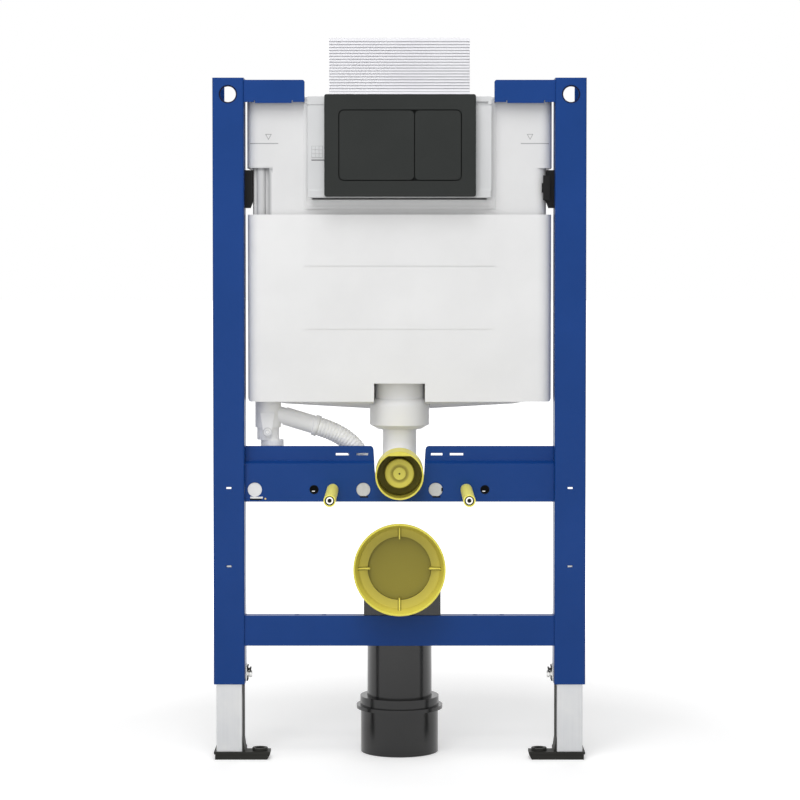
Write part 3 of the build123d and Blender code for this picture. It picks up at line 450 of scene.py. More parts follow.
def ribbed_box():
    """White ribbed plastic whose grooves hold a grey painted shade."""
    groove_pitch = GROOVE_PITCH * MM
    first_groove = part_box("protection_box")[1][2] - FIRST_GROOVE_DROP * MM
    groove_share = GROOVE_WIDTH / GROOVE_PITCH / 2
    material, tree, shader = new_material("white_box", 0.55, specular=0.2)
    tone = noise(tree, 16, 4)
    base = ramp(tree, tone, srgb(238, 237, 242), srgb(244, 244, 247))
    height = parts_of_place(tree)[2]
    below = arithmetic(tree, "SUBTRACT", first_groove + groove_pitch / 2, height)
    turns = arithmetic(tree, "DIVIDE", below, groove_pitch)
    phase = arithmetic(tree, "FRACT", turns)
    off = arithmetic(tree, "ABSOLUTE", arithmetic(tree, "SUBTRACT", phase, 0.5))
    groove = spread(tree, off, 1.0, 0.0, groove_share * 0.7, groove_share * 1.3)
    below_top = spread(tree, height, 1.0, 0.0, first_groove + 0.9 * MM, first_groove + 1.0 * MM)
    shade = arithmetic(tree, "MULTIPLY", groove, below_top)
    # Painted shade greys each groove.
    link(tree, mix_colour(tree, shade, base, srgb(196, 196, 200)), shader.inputs["Base Color"])
    grain = noise(tree, 700, 2)
    link(tree, spread(tree, grain, 0.49, 0.61), shader.inputs["Roughness"])
    bump(tree, shader, grain, 0.1, 0.0003)
    return material


def yellow_cap(name, centre_level, wall_limit, wall_slope, stops, rib_reach=None, ring=None):
    """Thin yellow plastic. Inside the cap its colour follows the depth as painted light and shade, and ribs
    get painted shade and highlight.
    """
    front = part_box(name)[0][1]
    material, tree, shader = new_material(name, 0.42, specular=0.3)
    tone = noise(tree, 18, 4)
    outside = ramp(tree, tone, srgb(226, 214, 92), srgb(234, 223, 100))
    across, depth, height = parts_of_place(tree)
    rise = arithmetic(tree, "SUBTRACT", height, centre_level * MM)
    squares = arithmetic(
        tree, "ADD", arithmetic(tree, "MULTIPLY", across, across), arithmetic(tree, "MULTIPLY", rise, rise)
    )
    radius = arithmetic(tree, "SQRT", squares)
    below_rim = arithmetic(tree, "SUBTRACT", depth, front)
    measure = arithmetic(tree, "ADD", radius, arithmetic(tree, "MULTIPLY", below_rim, wall_slope))
    inside = spread(tree, measure, 1.0, 0.0, wall_limit - 0.5 * MM, wall_limit + 0.5 * MM)
    deepest = stops[-1][0]
    # Painted light and shade: the colour inside the cap is set by the depth below the rim.
    node = tree.nodes.new("ShaderNodeValToRGB")
    node.color_ramp.elements[0].position = 0.0
    node.color_ramp.elements[0].color = srgb(*stops[0][1])
    node.color_ramp.elements[1].position = 1.0
    node.color_ramp.elements[1].color = srgb(*stops[-1][1])
    for place, colour in stops[1:-1]:
        element = node.color_ramp.elements.new(place / deepest)
        element.color = srgb(*colour)
    link(tree, arithmetic(tree, "DIVIDE", below_rim, deepest), node.inputs["Fac"])
    cavity = node.outputs["Color"]
    if rib_reach:
        across_size = arithmetic(tree, "ABSOLUTE", across)
        off = arithmetic(tree, "MINIMUM", across_size, arithmetic(tree, "ABSOLUTE", rise))
        start = spread(tree, radius, 0.0, 1.0, rib_reach[0] - 0.5 * MM, rib_reach[0] + 0.5 * MM)
        stop = spread(tree, radius, 1.0, 0.0, rib_reach[1] - 0.5 * MM, rib_reach[1] + 0.5 * MM)
        reach = arithmetic(tree, "MULTIPLY", start, stop)
        # Painted shade beside each rib, and a painted highlight along its crest.
        shade = arithmetic(tree, "MULTIPLY", spread(tree, off, 1.0, 0.0, 2.0 * MM, 2.6 * MM), reach)
        crest = arithmetic(tree, "MULTIPLY", spread(tree, off, 1.0, 0.0, 0.9 * MM, 1.3 * MM), reach)
        cavity = mix_colour(tree, shade, cavity, srgb(118, 108, 44))
        cavity = mix_colour(tree, crest, cavity, srgb(240, 228, 104))
    if ring:
        # Painted shade in a ring round the flush cap's knob and in its dimple.
        near = spread(tree, radius, 0.0, 1.0, ring[0] - 0.4 * MM, ring[0])
        far = spread(tree, radius, 1.0, 0.0, ring[1], ring[1] + 3 * MM)
        ring_shade = arithmetic(tree, "MULTIPLY", arithmetic(tree, "MULTIPLY", near, far), 0.75)
        cavity = mix_colour(tree, ring_shade, cavity, srgb(150, 138, 60))
        dimple_shade = spread(tree, radius, 1.0, 0.0, 0.9 * MM, 1.5 * MM)
        cavity = mix_colour(tree, dimple_shade, cavity, srgb(100, 90, 44))
    link(tree, mix_colour(tree, inside, outside, cavity), shader.inputs["Base Color"])
    grain = noise(tree, 600, 2)
    link(tree, spread(tree, grain, 0.36, 0.48), shader.inputs["Roughness"])
    bump(tree, shader, grain, 0.1, 0.0003)
    return material


def make_materials():
    """All the materials by name. The caps' stops are depths and the colours at them, painted light and
    shade inside the caps.
    """
    drain_stops = (
        (0.0, (244, 234, 98)), (2.5 * MM, (226, 214, 90)), (9 * MM, (222, 209, 90)),
        (16 * MM, (206, 193, 84)), (20.9 * MM, (186, 174, 78)), (21.3 * MM, (50, 44, 20)),
        (26 * MM, (58, 52, 24)), (27 * MM, (144, 134, 54)),
    )
    flush_stops = (
        (0.0, (232, 222, 96)), (4 * MM, (190, 178, 80)), (20 * MM, (168, 158, 66)),
        (30.2 * MM, (160, 150, 60)), (30.6 * MM, (254, 246, 122)), (34 * MM, (250, 240, 114)),
        (36 * MM, (168, 158, 62)), (65 * MM, (150, 142, 56)),
    )
    drain_ribs = (40 * MM, 55.5 * MM)
    flush_ring = (8.6 * MM, 10.4 * MM)
    return {
        "blue_powder_coat": powder_coat(),
        "galvanised_steel": galvanised(),
        "zinc_fasteners": zinc(),
        "bright_zinc": zinc("bright_zinc", (226, 226, 224), (244, 244, 242)),
        "brass": zinc("brass", (196, 168, 110), (222, 196, 140)),
        "black_foot": moulded("black_foot", (38, 38, 36), (48, 48, 45), 0.55, 0.2),
        "black_clip": moulded("black_clip", (14, 14, 14), (22, 22, 22), 0.5, 0.2),
        "white_cistern": moulded("white_cistern", (236, 236, 236), (241, 241, 241), 0.6, 0.1, 300, 0.1),
        "hood_white": hood_plastic(),
        "service_white": moulded("service_white", (213, 214, 215), (220, 221, 222), 0.55, 0.15, 500, 0.1),
        "white_box": ribbed_box(),
        "white_fittings": moulded("white_fittings", (234, 234, 235), (239, 239, 240), 0.4, 0.3),
        # Painted light: the white fitting plastic made lighter for fittings that sit deep under the tank.
        "painted_light_fittings": moulded("painted_light_fittings", (249, 249, 250), (253, 253, 253), 0.4, 0.3),
        "grey_plugs": moulded("grey_plugs", (200, 202, 206), (214, 215, 218), 0.5, 0.3, mottle_scale=160),
        "catch_shade": moulded("catch_shade", (188, 189, 190), (196, 197, 198), 0.5, 0.2),
        # Painted shade: the grey of the hood's raised level marks.
        "painted_shade_mark": moulded("painted_shade_mark", (158, 158, 160), (172, 172, 173), 0.5, 0.3),
        "anthracite_plate": moulded("anthracite_plate", (44, 46, 45), (47, 49, 48), 0.5, 0.15, 1400, 0.08),
        "black_drain": moulded("black_drain", (15, 15, 15), (20, 20, 20), 0.22, 0.55, 500, 0.04),
        "soft_shadow": moulded("soft_shadow", (118, 119, 120), (134, 135, 136), 0.6, 0.2),
        # Painted shade: the blue powder coat darkened, for the rings deep in the anchor holes.
        "painted_shade_blue": moulded("painted_shade_blue", (16, 22, 52), (22, 28, 60), 0.5, 0.2),
        # Black, for black parts and for painted shade on pieces set where there is shade.
        "black_and_painted_shade": moulded("black_and_painted_shade", (22, 23, 24), (34, 35, 36), 0.7, 0.1),
        "drain_cap": yellow_cap("drain_cap", DRAIN_LEVEL, 60.3 * MM, 0.25, drain_stops, drain_ribs),
        "flush_cap": yellow_cap("flush_cap", FLUSH_LEVEL, 31.0 * MM, 0.0, flush_stops, ring=flush_ring),
        "yellow_sleeves": moulded("yellow_sleeves", (246, 236, 108), (252, 243, 120), 0.4, 0.3),
    }


def dress_nodes(materials):
    """Every node of the frame takes the material of its slot, or one of its own."""
    own = {
        "drain_cap": "drain_cap",
        "flush_cap": "flush_cap",
        "service_frame": "service_white",
        "supply_fitting": "painted_light_fittings",
        "flush_bend": "painted_light_fittings",
        "conduit_hose": "painted_light_fittings",
        "tank_hood": "hood_white",
    }
    for part in frame["record"]["subparts"]:
        node = frame["nodes"][part["node"]]
        node.data.materials.clear()
        node.data.materials.append(materials[own.get(part["node"], part["material_slot"])])


# Studio
def make_floor():
    """A pale floor that keeps the shadow near the object and turns white further away."""
    size = FLOOR_HALF_SIZE
    mesh = bpy.data.meshes.new("floor")
    corners = [(-size, -size, 0), (size, -size, 0), (size, size, 0), (-size, size, 0)]
    mesh.from_pydata(corners, [], [(0, 1, 2, 3)])
    floor = bpy.data.objects.new("floor", mesh)
    bpy.context.scene.collection.objects.link(floor)
    material = bpy.data.materials.new("floor")
    material.use_nodes = True
    tree = material.node_tree
    tree.nodes.clear()
    output = tree.nodes.new("ShaderNodeOutputMaterial")
    matte = tree.nodes.new("ShaderNodeBsdfDiffuse")
    glow = tree.nodes.new("ShaderNodeEmission")
    both = tree.nodes.new("ShaderNodeAddShader")
    rays = tree.nodes.new("ShaderNodeLightPath")
    seen = arithmetic(tree, "MAXIMUM", rays.outputs["Is Camera Ray"], rays.outputs["Is Glossy Ray"])
    bounced = (FLOOR_ALBEDO, FLOOR_ALBEDO, FLOOR_ALBEDO, 1.0)
    shown = (FLOOR_SEEN_ALBEDO, FLOOR_SEEN_ALBEDO, FLOOR_SEEN_ALBEDO, 1.0)
    link(tree, mix_colour(tree, seen, bounced, shown), matte.inputs["Color"])
    across, depth, _ = parts_of_place(tree)
    squares = arithmetic(
        tree, "ADD",
        arithmetic(tree, "MULTIPLY", across, across),
        arithmetic(tree, "MULTIPLY", depth, depth),
    )
    radius = arithmetic(tree, "SQRT", squares)
    shine = spread(tree, radius, FLOOR_GLOW_NEAR, FLOOR_GLOW_FAR, FLOOR_NEAR_RADIUS, FLOOR_FAR_RADIUS)
    link(tree, arithmetic(tree, "MULTIPLY", seen, shine), glow.inputs["Strength"])
    link(tree, matte.outputs["BSDF"], both.inputs[0])
    link(tree, glow.outputs["Emission"], both.inputs[1])
    link(tree, both.outputs["Shader"], output.inputs["Surface"])
    mesh.materials.append(material)


def make_world():
    """White for the camera and for reflections, and dimmer where it lights the object."""
    world = bpy.data.worlds.new("studio")
    bpy.context.scene.world = world
    world.use_nodes = True
    tree = world.node_tree
    background = tree.nodes["Background"]
    background.inputs["Color"].default_value = (1, 1, 1, 1)
    rays = tree.nodes.new("ShaderNodeLightPath")
    seen = arithmetic(tree, "MAXIMUM", rays.outputs["Is Camera Ray"], rays.outputs["Is Glossy Ray"])
    also = arithmetic(tree, "MAXIMUM", seen, rays.outputs["Is Transmission Ray"])
    link(tree, spread(tree, also, DIFFUSE_WORLD, 1.0), background.inputs["Strength"])


def area_lamp(name, place, target, side, power):
    lamp = bpy.data.lights.new(name, "AREA")
    lamp.shape = "SQUARE"
    lamp.size = side
    lamp.energy = power
    holder = bpy.data.objects.new(name, lamp)
    holder.location = place
    aim = Vector(target) - Vector(place)
    holder.rotation_euler = aim.to_track_quat("-Z", "Y").to_euler()
    holder.visible_glossy = False
    bpy.context.scene.collection.objects.link(holder)


def make_lamps():
    for name, place, side, power in LAMPS:
        area_lamp(name, place, LAMP_TARGET, side, power)


def make_camera():
    data = bpy.data.cameras.new("camera")
    data.sensor_width = SENSOR_WIDTH
    data.lens = FOCAL_PIXELS * SENSOR_WIDTH / IMAGE_SIDE
    data.shift_x = (IMAGE_SIDE / 2 - PRINCIPAL_PIXEL[0]) / IMAGE_SIDE
    data.shift_y = (PRINCIPAL_PIXEL[1] - IMAGE_SIDE / 2) / IMAGE_SIDE
    camera = bpy.data.objects.new("camera", data)
    camera.location = (0, POST_FRONT - CAMERA_DISTANCE, CAMERA_HEIGHT)
    camera.rotation_euler = (math.radians(90 - CAMERA_TILT_DOWN), 0, 0)
    bpy.context.scene.collection.objects.link(camera)
    bpy.context.scene.camera = camera
    bpy.context.scene.view_settings.view_transform = "Standard"


# Mesh helpers. Their sizes are millimetres, and their Y is measured from the posts' front face.
def add_piece(name, form, material, body="frame"):
    """Turns a form in millimetres into a piece in metres that rides on a body."""
    bmesh.ops.remove_doubles(form, verts=form.verts, dist=MERGE_DISTANCE)
    bmesh.ops.dissolve_degenerate(form, edges=form.edges, dist=MERGE_DISTANCE)
    bmesh.ops.recalc_face_normals(form, faces=form.faces)
    for vertex in form.verts:
        across, depth, height = vertex.co
        vertex.co = (across * MM, POST_FRONT + depth * MM, height * MM)
    mesh = bpy.data.meshes.new(name)
    form.to_mesh(mesh)
    form.free()
    mesh.materials.append(material)
    mesh.shade_smooth()
    mesh.set_sharp_from_angle(angle=math.radians(SHARP_ANGLE))
    piece = bpy.data.objects.new(name, mesh)
    bpy.context.scene.collection.objects.link(piece)
    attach(piece, body)
    return piece


def bridge(form, rings, closed):
    """Joins rings of points with faces."""
    following = rings[1:] + rings[:1] if closed else rings[1:]
    for ring, after in zip(rings, following):
        for step in range(len(ring)):
            turn = (step + 1) % len(ring)
            form.faces.new((ring[step], ring[turn], after[turn], after[step]))


def bridge_and_close(form, rings):
    """Joins rings of points with faces and closes both ends."""
    bridge(form, rings, False)
    form.faces.new(rings[0])
    form.faces.new(rings[-1][::-1])


def turned(form, profile, centre, axis="Y", segments=40):
    """Runs a closed outline of (radius, along) points round an axis through the centre."""
    rings = []
    for radius, along in profile:
        ring = []
        for step in range(segments):
            angle = 2 * math.pi * step / segments
            first = radius * math.cos(angle)
            second = radius * math.sin(angle)
            offset = (along, first, second) if axis == "X" else (first, along, second)
            ring.append(form.verts.new(Vector(centre) + Vector(offset)))
        rings.append(ring)
    bridge(form, rings, True)


def washer(form, centre, inner, outer, front, rear, edge=0.2):
    """A flat ring whose front edges are bevelled."""
    profile = (
        (inner + edge, front), (outer - edge, front), (outer, front + edge), (outer, rear), (inner, rear),
        (inner, front + edge),
    )
    turned(form, profile, (centre[0], 0, centre[1]))


def button(form, centre, radius, front, rear, edge=0.2):
    """A round disc whose front edge is bevelled."""
    profile = ((0, front), (radius - edge, front), (radius, front + edge), (radius, rear), (0, rear))
    turned(form, profile, (centre[0], 0, centre[1]))


def prism(form, outline, front, rear):
    """Extrudes an outline of (x, z) points from a front face back to a rear one."""
    near = [form.verts.new((x, front, z)) for x, z in outline]
    far = [form.verts.new((x, rear, z)) for x, z in outline]
    form.faces.new(near)
    form.faces.new(far[::-1])
    for index in range(len(outline)):
        after = (index + 1) % len(outline)
        form.faces.new((near[after], near[index], far[index], far[after]))


def slab(form, x0, x1, y0, y1, z0, z1, edge=0.1):
    """A plate between two corners whose front edges are bevelled."""
    corners = ((x0, z0), (x1, z0), (x1, z1), (x0, z1))
    inner = ((x0 + edge, z0 + edge), (x1 - edge, z0 + edge), (x1 - edge, z1 - edge), (x0 + edge, z1 - edge))
    rings = []
    for points, depth in ((inner, y0), (corners, y0 + edge), (corners, y1)):
        rings.append([form.verts.new((x, depth, z)) for x, z in points])
    bridge_and_close(form, rings)


def slot_frame(form, centre_x, centre_z, outer, inner, front, rear):
    """A flat rectangular frame, its outer and inner sizes as (width, height)."""
    rings = []
    for (width, height), depth in ((outer, front), (outer, rear), (inner, rear), (inner, front)):
        corners = ((-width, -height), (width, -height), (width, height), (-width, height))
        rings.append([form.verts.new((centre_x + x / 2, depth, centre_z + z / 2)) for x, z in corners])
    bridge(form, rings, True)


def on_side(side, span):
    """A span of distances from the middle, on one side of the frame and in rising order."""
    return sorted(side * place for place in span)


def outlined_triangle(form, centre_x, top, tip, half_width, stroke, front, rear):
    """The outline of a triangle that points down."""
    outer = ((centre_x - half_width, top), (centre_x + half_width, top), (centre_x, tip))
    middle_z = (2 * top + tip) / 3
    share = 1 - 3 * stroke / (top - tip)
    inner = [(centre_x + (x - centre_x) * share, middle_z + (z - middle_z) * share) for x, z in outer]
    rings = []
    for points, depth in ((outer, front), (outer, rear), (inner, rear), (inner, front)):
        rings.append([form.verts.new((x, depth, z)) for x, z in points])
    bridge(form, rings, True)


# Conduit hose
def route_line(points):
    """The smooth line of a route of points in metres, read from its NURBS spline."""
    data = bpy.data.curves.new("hose_route", "CURVE")
    data.dimensions = "3D"
    data.resolution_u = ROUTE_RESOLUTION
    spline = data.splines.new("NURBS")
    spline.points.add(len(points) - 1)
    for point, place in zip(spline.points, points):
        point.co = (*place, 1)
    spline.order_u = 3
    spline.use_endpoint_u = True
    carrier = bpy.data.objects.new("hose_route", data)
    bpy.context.scene.collection.objects.link(carrier)
    bpy.context.view_layer.update()
    mesh = bpy.data.meshes.new_from_object(carrier)
    line = [vertex.co.copy() for vertex in mesh.vertices]
    bpy.data.objects.remove(carrier)
    bpy.data.meshes.remove(mesh)
    return line


def along_line(line, distance):
    """The point and the direction at a distance along a line."""
    left = distance
    for start, end in zip(line, line[1:]):
        run = (end - start).length
        if left <= run or end is line[-1]:
            return start + (end - start) * (left / run), (end - start).normalized()
        left -= run


def hose_stations(length):
    """Distances and radii of the hose: a smooth cuff, a collar, then ribs."""
    collar_end = HOSE_COLLAR_START + HOSE_COLLAR_LENGTH
    rounded = HOSE_COLLAR_RADIUS - HOSE_COLLAR_ROUNDING
    stations = [
        (0.0, HOSE_CUFF_RADIUS),
        (HOSE_COLLAR_START - HOSE_COLLAR_EDGE, HOSE_CUFF_RADIUS),
        (HOSE_COLLAR_START, rounded),
        (HOSE_COLLAR_START + HOSE_COLLAR_EDGE, HOSE_COLLAR_RADIUS),
        (collar_end - HOSE_COLLAR_EDGE, HOSE_COLLAR_RADIUS),
        (collar_end, rounded),
    ]
    rib = collar_end + HOSE_RIB_START
    while rib + HOSE_PITCH < length:
        for share, radius in HOSE_RIB:
            stations.append((rib + share * HOSE_PITCH, radius))
        rib += HOSE_PITCH
    stations.append((length, HOSE_RIB[0][1]))
    return stations


def make_hose():
    """The ribbed hose in place of the plain one, on the same route."""
    points = [(x * MM, POST_FRONT + HOSE_DEPTH * MM, z * MM) for x, z in HOSE_ROUTE]
    line = route_line(points)
    length = sum((end - start).length for start, end in zip(line, line[1:]))
    form = bmesh.new()
    rings = []
    for distance, radius in hose_stations(length / MM):
        place, direction = along_line(line, distance * MM)
        side = Vector((0, 1, 0))
        rise = direction.cross(side)
        ring = []
        for step in range(HOSE_SEGMENTS):
            angle = 2 * math.pi * step / HOSE_SEGMENTS
            point = place + (side * math.cos(angle) + rise * math.sin(angle)) * radius * MM
            ring.append(form.verts.new((point.x / MM, (point.y - POST_FRONT) / MM, point.z / MM)))
        rings.append(ring)
    bridge_and_close(form, rings)
    hose = add_piece("ribbed_conduit_hose", form, materials["painted_light_fittings"])
    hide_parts("conduit_hose")


# Tank and service frame
def make_tank_corners():
    """The wall of the lower tank body round its two rear corners."""
    inner, outer = TANK_CORNER_RADII
    start, stop = TANK_CORNER_SPAN
    for side, name in ((-1, "left"), (1, "right")):
        form = bmesh.new()
        rings = []
        for step in range(TANK_CORNER_STEPS + 1):
            angle = math.radians(start + (stop - start) * step / TANK_CORNER_STEPS)
            ring = []
            for radius, height in ((outer, 0), (outer, 1), (inner, 1), (inner, 0)):
                across = side * (TANK_CORNER_PLACE[0] + radius * math.cos(angle))
                depth = TANK_CORNER_PLACE[1] + radius * math.sin(angle)
                ring.append(form.verts.new((across, depth, TANK_CORNER_HEIGHTS[height])))
            rings.append(ring)
        bridge_and_close(form, rings)
        add_piece(f"{name}_tank_corner", form, materials["white_cistern"])


def make_level_marks():
    """A raised line round each shoulder of the hood, with a triangle above it, both grey as painted shade.
    """
    turn = math.asin((LEVEL_LINE_REACH - HOOD_FLAT_END) / HOOD_EDGE_RADIUS)
    for side, name in ((-1, "left"), (1, "right")):
        straight = (0.0, -1.0)
        path = [
            ((side * LEVEL_LINE_START, HOOD_FRONT), straight),
            ((side * HOOD_FLAT_END, HOOD_FRONT), straight),
        ]
        for step in range(1, LEVEL_LINE_STEPS + 1):
            angle = turn * step / LEVEL_LINE_STEPS
            normal = (side * math.sin(angle), -math.cos(angle))
            centre = (side * HOOD_FLAT_END, HOOD_FRONT + HOOD_EDGE_RADIUS)
            point = (centre[0] + normal[0] * HOOD_EDGE_RADIUS, centre[1] + normal[1] * HOOD_EDGE_RADIUS)
            path.append((point, normal))
        form = bmesh.new()
        rings = []
        for point, normal in path:
            ring = []
            for proud, height in LEVEL_LINE_SECTION:
                ring.append(form.verts.new((
                    point[0] + normal[0] * proud, point[1] + normal[1] * proud, LEVEL_LINE_HEIGHT + height
                )))
            rings.append(ring)
        bridge_and_close(form, rings)
        add_piece(f"{name}_level_line", form, materials["painted_shade_mark"])
        form = bmesh.new()
        outlined_triangle(
            form, TRIANGLE_PLACES[name], TRIANGLE_TOP, TRIANGLE_TIP, TRIANGLE_HALF_WIDTH, TRIANGLE_STROKE,
            HOOD_FRONT - TRIANGLE_PROUD, HOOD_FRONT + TRIANGLE_PROUD,
        )
        add_piece(f"{name}_level_triangle", form, materials["painted_shade_mark"])


def make_hood_border():
    """A low step in the hood round the sides and the foot of the service frame."""
    outline = [
        (-BORDER_HALF_WIDTH, BORDER_TOP), (-BORDER_HALF_WIDTH, BORDER_BOTTOM),
        (BORDER_HALF_WIDTH, BORDER_BOTTOM), (BORDER_HALF_WIDTH, BORDER_TOP),
        (BORDER_SLOT_HALF_WIDTH, BORDER_TOP), (BORDER_SLOT_HALF_WIDTH, BORDER_SLOT_FOOT),
        (-BORDER_SLOT_HALF_WIDTH, BORDER_SLOT_FOOT), (-BORDER_SLOT_HALF_WIDTH, BORDER_TOP),
    ]
    form = bmesh.new()
    prism(form, outline, HOOD_FRONT - BORDER_PROUD, HOOD_FRONT + BORDER_SUNK)
    border = add_piece("hood_border", form, materials["white_cistern"])
    soften(border, BORDER_SOFTNESS)


def soften(piece, width):
    """Rounds a piece's edges, its width in millimetres."""
    bevel = piece.modifiers.new("soft_edge", "BEVEL")
    bevel.width = width * MM
    bevel.segments = 2
    bevel.limit_method = "ANGLE"
    bevel.angle_limit = math.radians(SHARP_ANGLE)


def make_service_details():
    """A ribbed catch on the plate's left, its grey base showing between the tiles as painted shade, a
    painted shadow line under it, and a ledge on both sides of the plate.
    """
    inside = SERVICE_FRONT + SERVICE_SUNK
    form = bmesh.new()
    # The base's grey shows between the tiles as painted shade.
    slab(form, *CATCH_SPAN, SERVICE_FRONT - CATCH_PROUD, inside, *CATCH_HEIGHTS)
    add_piece("service_catch_base", form, materials["catch_shade"])
    form = bmesh.new()
    tile_width = (CATCH_SPAN[1] - CATCH_SPAN[0] - 2 * CATCH_MARGIN) / CATCH_TILES
    tile_height = (CATCH_HEIGHTS[1] - CATCH_HEIGHTS[0] - 2 * CATCH_MARGIN) / CATCH_TILES
    tile_front, tile_rear = [SERVICE_FRONT - proud for proud in CATCH_TILE_PROUD]
    for column in range(CATCH_TILES):
        for row in range(CATCH_TILES):
            left = CATCH_SPAN[0] + CATCH_MARGIN + tile_width * column
            foot = CATCH_HEIGHTS[0] + CATCH_MARGIN + tile_height * row
            slab(
                form, left + CATCH_TILE_GAP, left + tile_width - CATCH_TILE_GAP, tile_front, tile_rear,
                foot + CATCH_TILE_GAP, foot + tile_height - CATCH_TILE_GAP, CATCH_TILE_EDGE,
            )
    add_piece("service_catch", form, materials["service_white"])
    form = bmesh.new()
    # Painted shadow: a thin dark sheet under the catch.
    shadow_depths = (SERVICE_FRONT - CATCH_SHADOW_PROUD, SERVICE_FRONT + CATCH_SHADOW_PROUD)
    slab(form, CATCH_SPAN[0], PLATE_LEFT, *shadow_depths, *CATCH_SHADOW_HEIGHTS, 0.02)
    add_piece("service_shadow_line", form, materials["soft_shadow"])
    form = bmesh.new()
    for span in ((LEDGE_LEFT, PLATE_LEFT), (-PLATE_LEFT + LEDGE_RIGHT_GAP, -LEDGE_LEFT)):
        slab(form, *span, SERVICE_FRONT - LEDGE_PROUD, inside, *LEDGE_HEIGHTS, LEDGE_EDGE)
    add_piece("service_ledge", form, materials["service_white"])


# Steel frame
def make_post_details():
    """Rings in the anchor holes, dark blue as painted shade, and liners in the slots of the posts."""
    for side, name in ((-1, "left"), (1, "right")):
        form = bmesh.new()
        washer(form, (side * ANCHOR_PLACE, ANCHOR_HEIGHT), *ANCHOR_RING_RADII, *ANCHOR_RING_DEPTHS)
        add_piece(f"{name}_anchor_ring", form, materials["painted_shade_blue"])
        form = bmesh.new()
        for level in POST_SLOT_LEVELS:
            place = side * ANCHOR_PLACE
            slot_frame(form, place, level, POST_SLOT_OUTER, POST_SLOT_INNER, *POST_SLOT_DEPTHS)
        add_piece(f"{name}_post_slot_liners", form, materials["blue_powder_coat"])


def bar_mark(name, span, heights, look=("black_and_painted_shade", "black_clip"), proud=MARK_PROUD, edge=0.05):
    """A small plate on the middle crossbar's face, its look as (material, slot). The slot is not used."""
    form = bmesh.new()
    slab(form, *span, BAR_FACE - proud, BAR_FACE + MARK_SUNK, *heights, edge)
    add_piece(name, form, materials[look[0]])


def moved(span, distance):
    return [distance + place for place in span]


def make_bar_details():
    """Dark inserts in the wide stud holes, painted shadows below the discs, a dark spot beside the right
    disc, and the water plug's clip with a painted shadow below it.
    """
    for side, name in ((-1, "left"), (1, "right")):
        hole = side * WIDE_STUD_PLACE
        form = bmesh.new()
        # The insert is black, and its darkness also paints the shade inside the hole.
        turned(form, INSERT_PROFILE, (hole, 0, STUD_LEVEL))
        add_piece(f"{name}_hole_insert", form, materials["black_and_painted_shade"])
        form = bmesh.new()
        tab_span = moved(INSERT_TAB_SPAN, hole)
        slab(form, *tab_span, *INSERT_TAB_DEPTHS, *moved(INSERT_TAB_RISES, STUD_LEVEL), 0.2)
        add_piece(f"{name}_insert_tab", form, materials["bright_zinc"])
        # Painted shadow below each disc.
        shadow_span = moved(DISC_SHADOW_SPAN, side * DISC_PLACE)
        bar_mark(f"{name}_disc_shadow", shadow_span, moved(DISC_SHADOW_RISES, STUD_LEVEL))
    # A dark spot beside the right disc.
    dark_spot_span = moved(DISC_DARK_SPOT_SPAN, DISC_PLACE)
    bar_mark("right_disc_dark_spot", dark_spot_span, moved(DISC_DARK_SPOT_RISES, STUD_LEVEL))
    white = ("white_fittings", "white_fittings")
    bar_mark("water_plug_clip", PLUG_CLIP_SPAN, PLUG_CLIP_HEIGHTS, white, PLUG_CLIP_PROUD, 0.3)
    # Painted shadow below the water plug's clip.
    bar_mark("water_plug_shadow", PLUG_SHADOW_SPAN, PLUG_SHADOW_HEIGHTS)
    form = bmesh.new()
    button(form, PLUG_PIN_PLACE, PLUG_PIN_RADIUS, BAR_FACE - PLUG_PIN_PROUD, BAR_FACE + MARK_SUNK, 0.4)
    add_piece("water_plug_pin", form, materials["brass"])


def make_stud_details():
    """The threaded tails, and at each stud's tip a ring of painted shade over the gap and the chamfer, a
    dark centre and a bright face.
    """
    crests = int((TAIL_END - TAIL_START) / THREAD_PITCH)
    shade_front = STUD_TIP - STUD_SHADE_PROUD
    face_front = STUD_TIP - STUD_FACE_PROUD
    face_rear = STUD_TIP + STUD_FACE_DEPTH
    for side, name in ((-1, "left"), (1, "right")):
        centre = (side * STUD_PLACE, STUD_LEVEL)
        profile = [(STUD_CORE, TAIL_START)]
        for crest in range(crests):
            root = TAIL_START + crest * THREAD_PITCH
            profile.append((THREAD_ROOT, root))
            profile += [(THREAD_CREST, root + flat) for flat in THREAD_FLAT]
        profile += [(THREAD_ROOT, TAIL_END), (STUD_CORE, TAIL_END)]
        form = bmesh.new()
        turned(form, profile, (centre[0], 0, centre[1]))
        add_piece(f"{name}_stud_thread", form, materials["zinc_fasteners"])
        form = bmesh.new()
        # Painted shade: a dark ring over the gap round the tip and over the tip's chamfer.
        washer(form, centre, STUD_FACE_RADIUS, SLEEVE_BORE, shade_front, STUD_TIP + STUD_SHADE_DEPTH, 0.05)
        add_piece(f"{name}_stud_shade_ring", form, materials["black_and_painted_shade"])
        form = bmesh.new()
        button(form, centre, STUD_CENTRE_RADIUS, shade_front, face_rear, 0.05)
        add_piece(f"{name}_stud_centre", form, materials["black_and_painted_shade"])
        form = bmesh.new()
        washer(form, centre, STUD_CENTRE_RADIUS, STUD_FACE_RADIUS, face_front, face_rear, 0.1)
        add_piece(f"{name}_stud_face", form, materials["bright_zinc"])


def make_leg_details():
    """Black guide strips on each leg's inner side."""
    for side, name in ((-1, "left"), (1, "right")):
        form = bmesh.new()
        for depths in STRIP_DEPTHS:
            slab(form, *on_side(side, STRIP_SPAN), *depths, *STRIP_HEIGHTS)
        leg = f"{name}_telescopic_leg"
        add_piece(f"{name}_guide_strip", form, materials["black_foot"], leg)


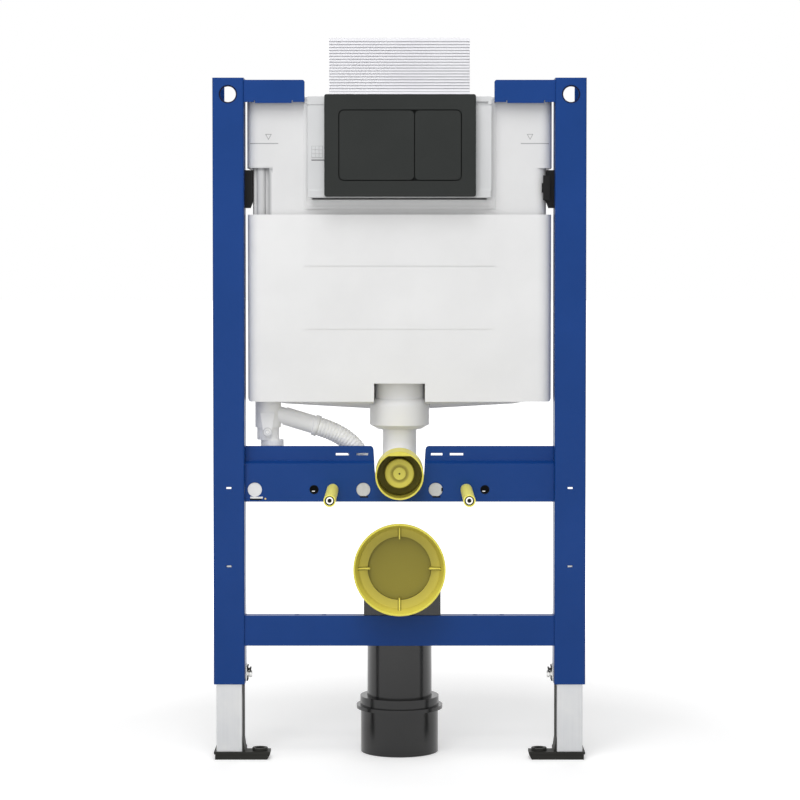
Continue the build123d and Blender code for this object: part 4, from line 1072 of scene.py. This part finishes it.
def make_clamps():
    """The clamp of each leg: a plate with dark ends, a screw with a flanged head and a hook above it."""
    plate_depths = (CLAMP_DEPTH - CLAMP_PLATE_HALF_DEPTH, CLAMP_DEPTH + CLAMP_PLATE_HALF_DEPTH)
    hook_depths = (CLAMP_DEPTH - CLAMP_HOOK_HALF_DEPTH, CLAMP_DEPTH + CLAMP_HOOK_HALF_DEPTH)
    shank = (
        (0, CLAMP_SHANK_START), (CLAMP_SHANK_RADIUS, CLAMP_SHANK_START),
        (CLAMP_SHANK_RADIUS, CLAMP_SHANK_END), (0, CLAMP_SHANK_END),
    )
    for side, name in ((-1, "left"), (1, "right")):
        form = bmesh.new()
        outline = [(radius, side * along) for radius, along in CLAMP_HEAD_PROFILE]
        turned(form, outline, (0, CLAMP_DEPTH, CLAMP_HEAD_LEVEL), "X", CLAMP_HEAD_SEGMENTS)
        add_piece(f"{name}_clamp_head", form, materials["bright_zinc"])
        form = bmesh.new()
        outline = [(radius, side * along) for radius, along in shank]
        turned(form, outline, (0, CLAMP_DEPTH, CLAMP_LEVEL), "X", CLAMP_SHANK_SEGMENTS)
        plate_span = on_side(side, CLAMP_PLATE_SPAN)
        slab(form, *plate_span, *plate_depths, *CLAMP_PLATE_HEIGHTS, CLAMP_PLATE_EDGE)
        plate = add_piece(f"{name}_clamp_plate", form, materials["zinc_fasteners"])
        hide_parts(f"{name}_clamp_screw")
        form = bmesh.new()
        for heights in CLAMP_END_HEIGHTS:
            slab(form, *on_side(side, CLAMP_END_SPAN), *plate_depths, *heights, CLAMP_HOOK_EDGE)
        for span, heights in CLAMP_HOOK_PARTS:
            slab(form, *on_side(side, span), *hook_depths, *heights, CLAMP_HOOK_EDGE)
        add_piece(f"{name}_clamp_hook", form, materials["black_clip"])


# Water and waste
def make_supply_details():
    """Rings on the boss of the supply fitting."""
    depths = (SUPPLY_FRONT - SUPPLY_RING_PROUD, SUPPLY_FRONT + SUPPLY_RING_PROUD)
    form = bmesh.new()
    for radii in SUPPLY_RINGS:
        washer(form, (SUPPLY_PLACE, SUPPLY_BOSS_HEIGHT), *radii, *depths)
    add_piece("supply_boss_rings", form, materials["service_white"])


materials = make_materials()
dress_nodes(materials)
make_camera()
make_hose()
make_tank_corners()
make_level_marks()
make_hood_border()
make_service_details()
make_post_details()
make_bar_details()
make_stud_details()
make_leg_details()
make_clamps()
make_supply_details()
make_floor()
make_world()
make_lamps()
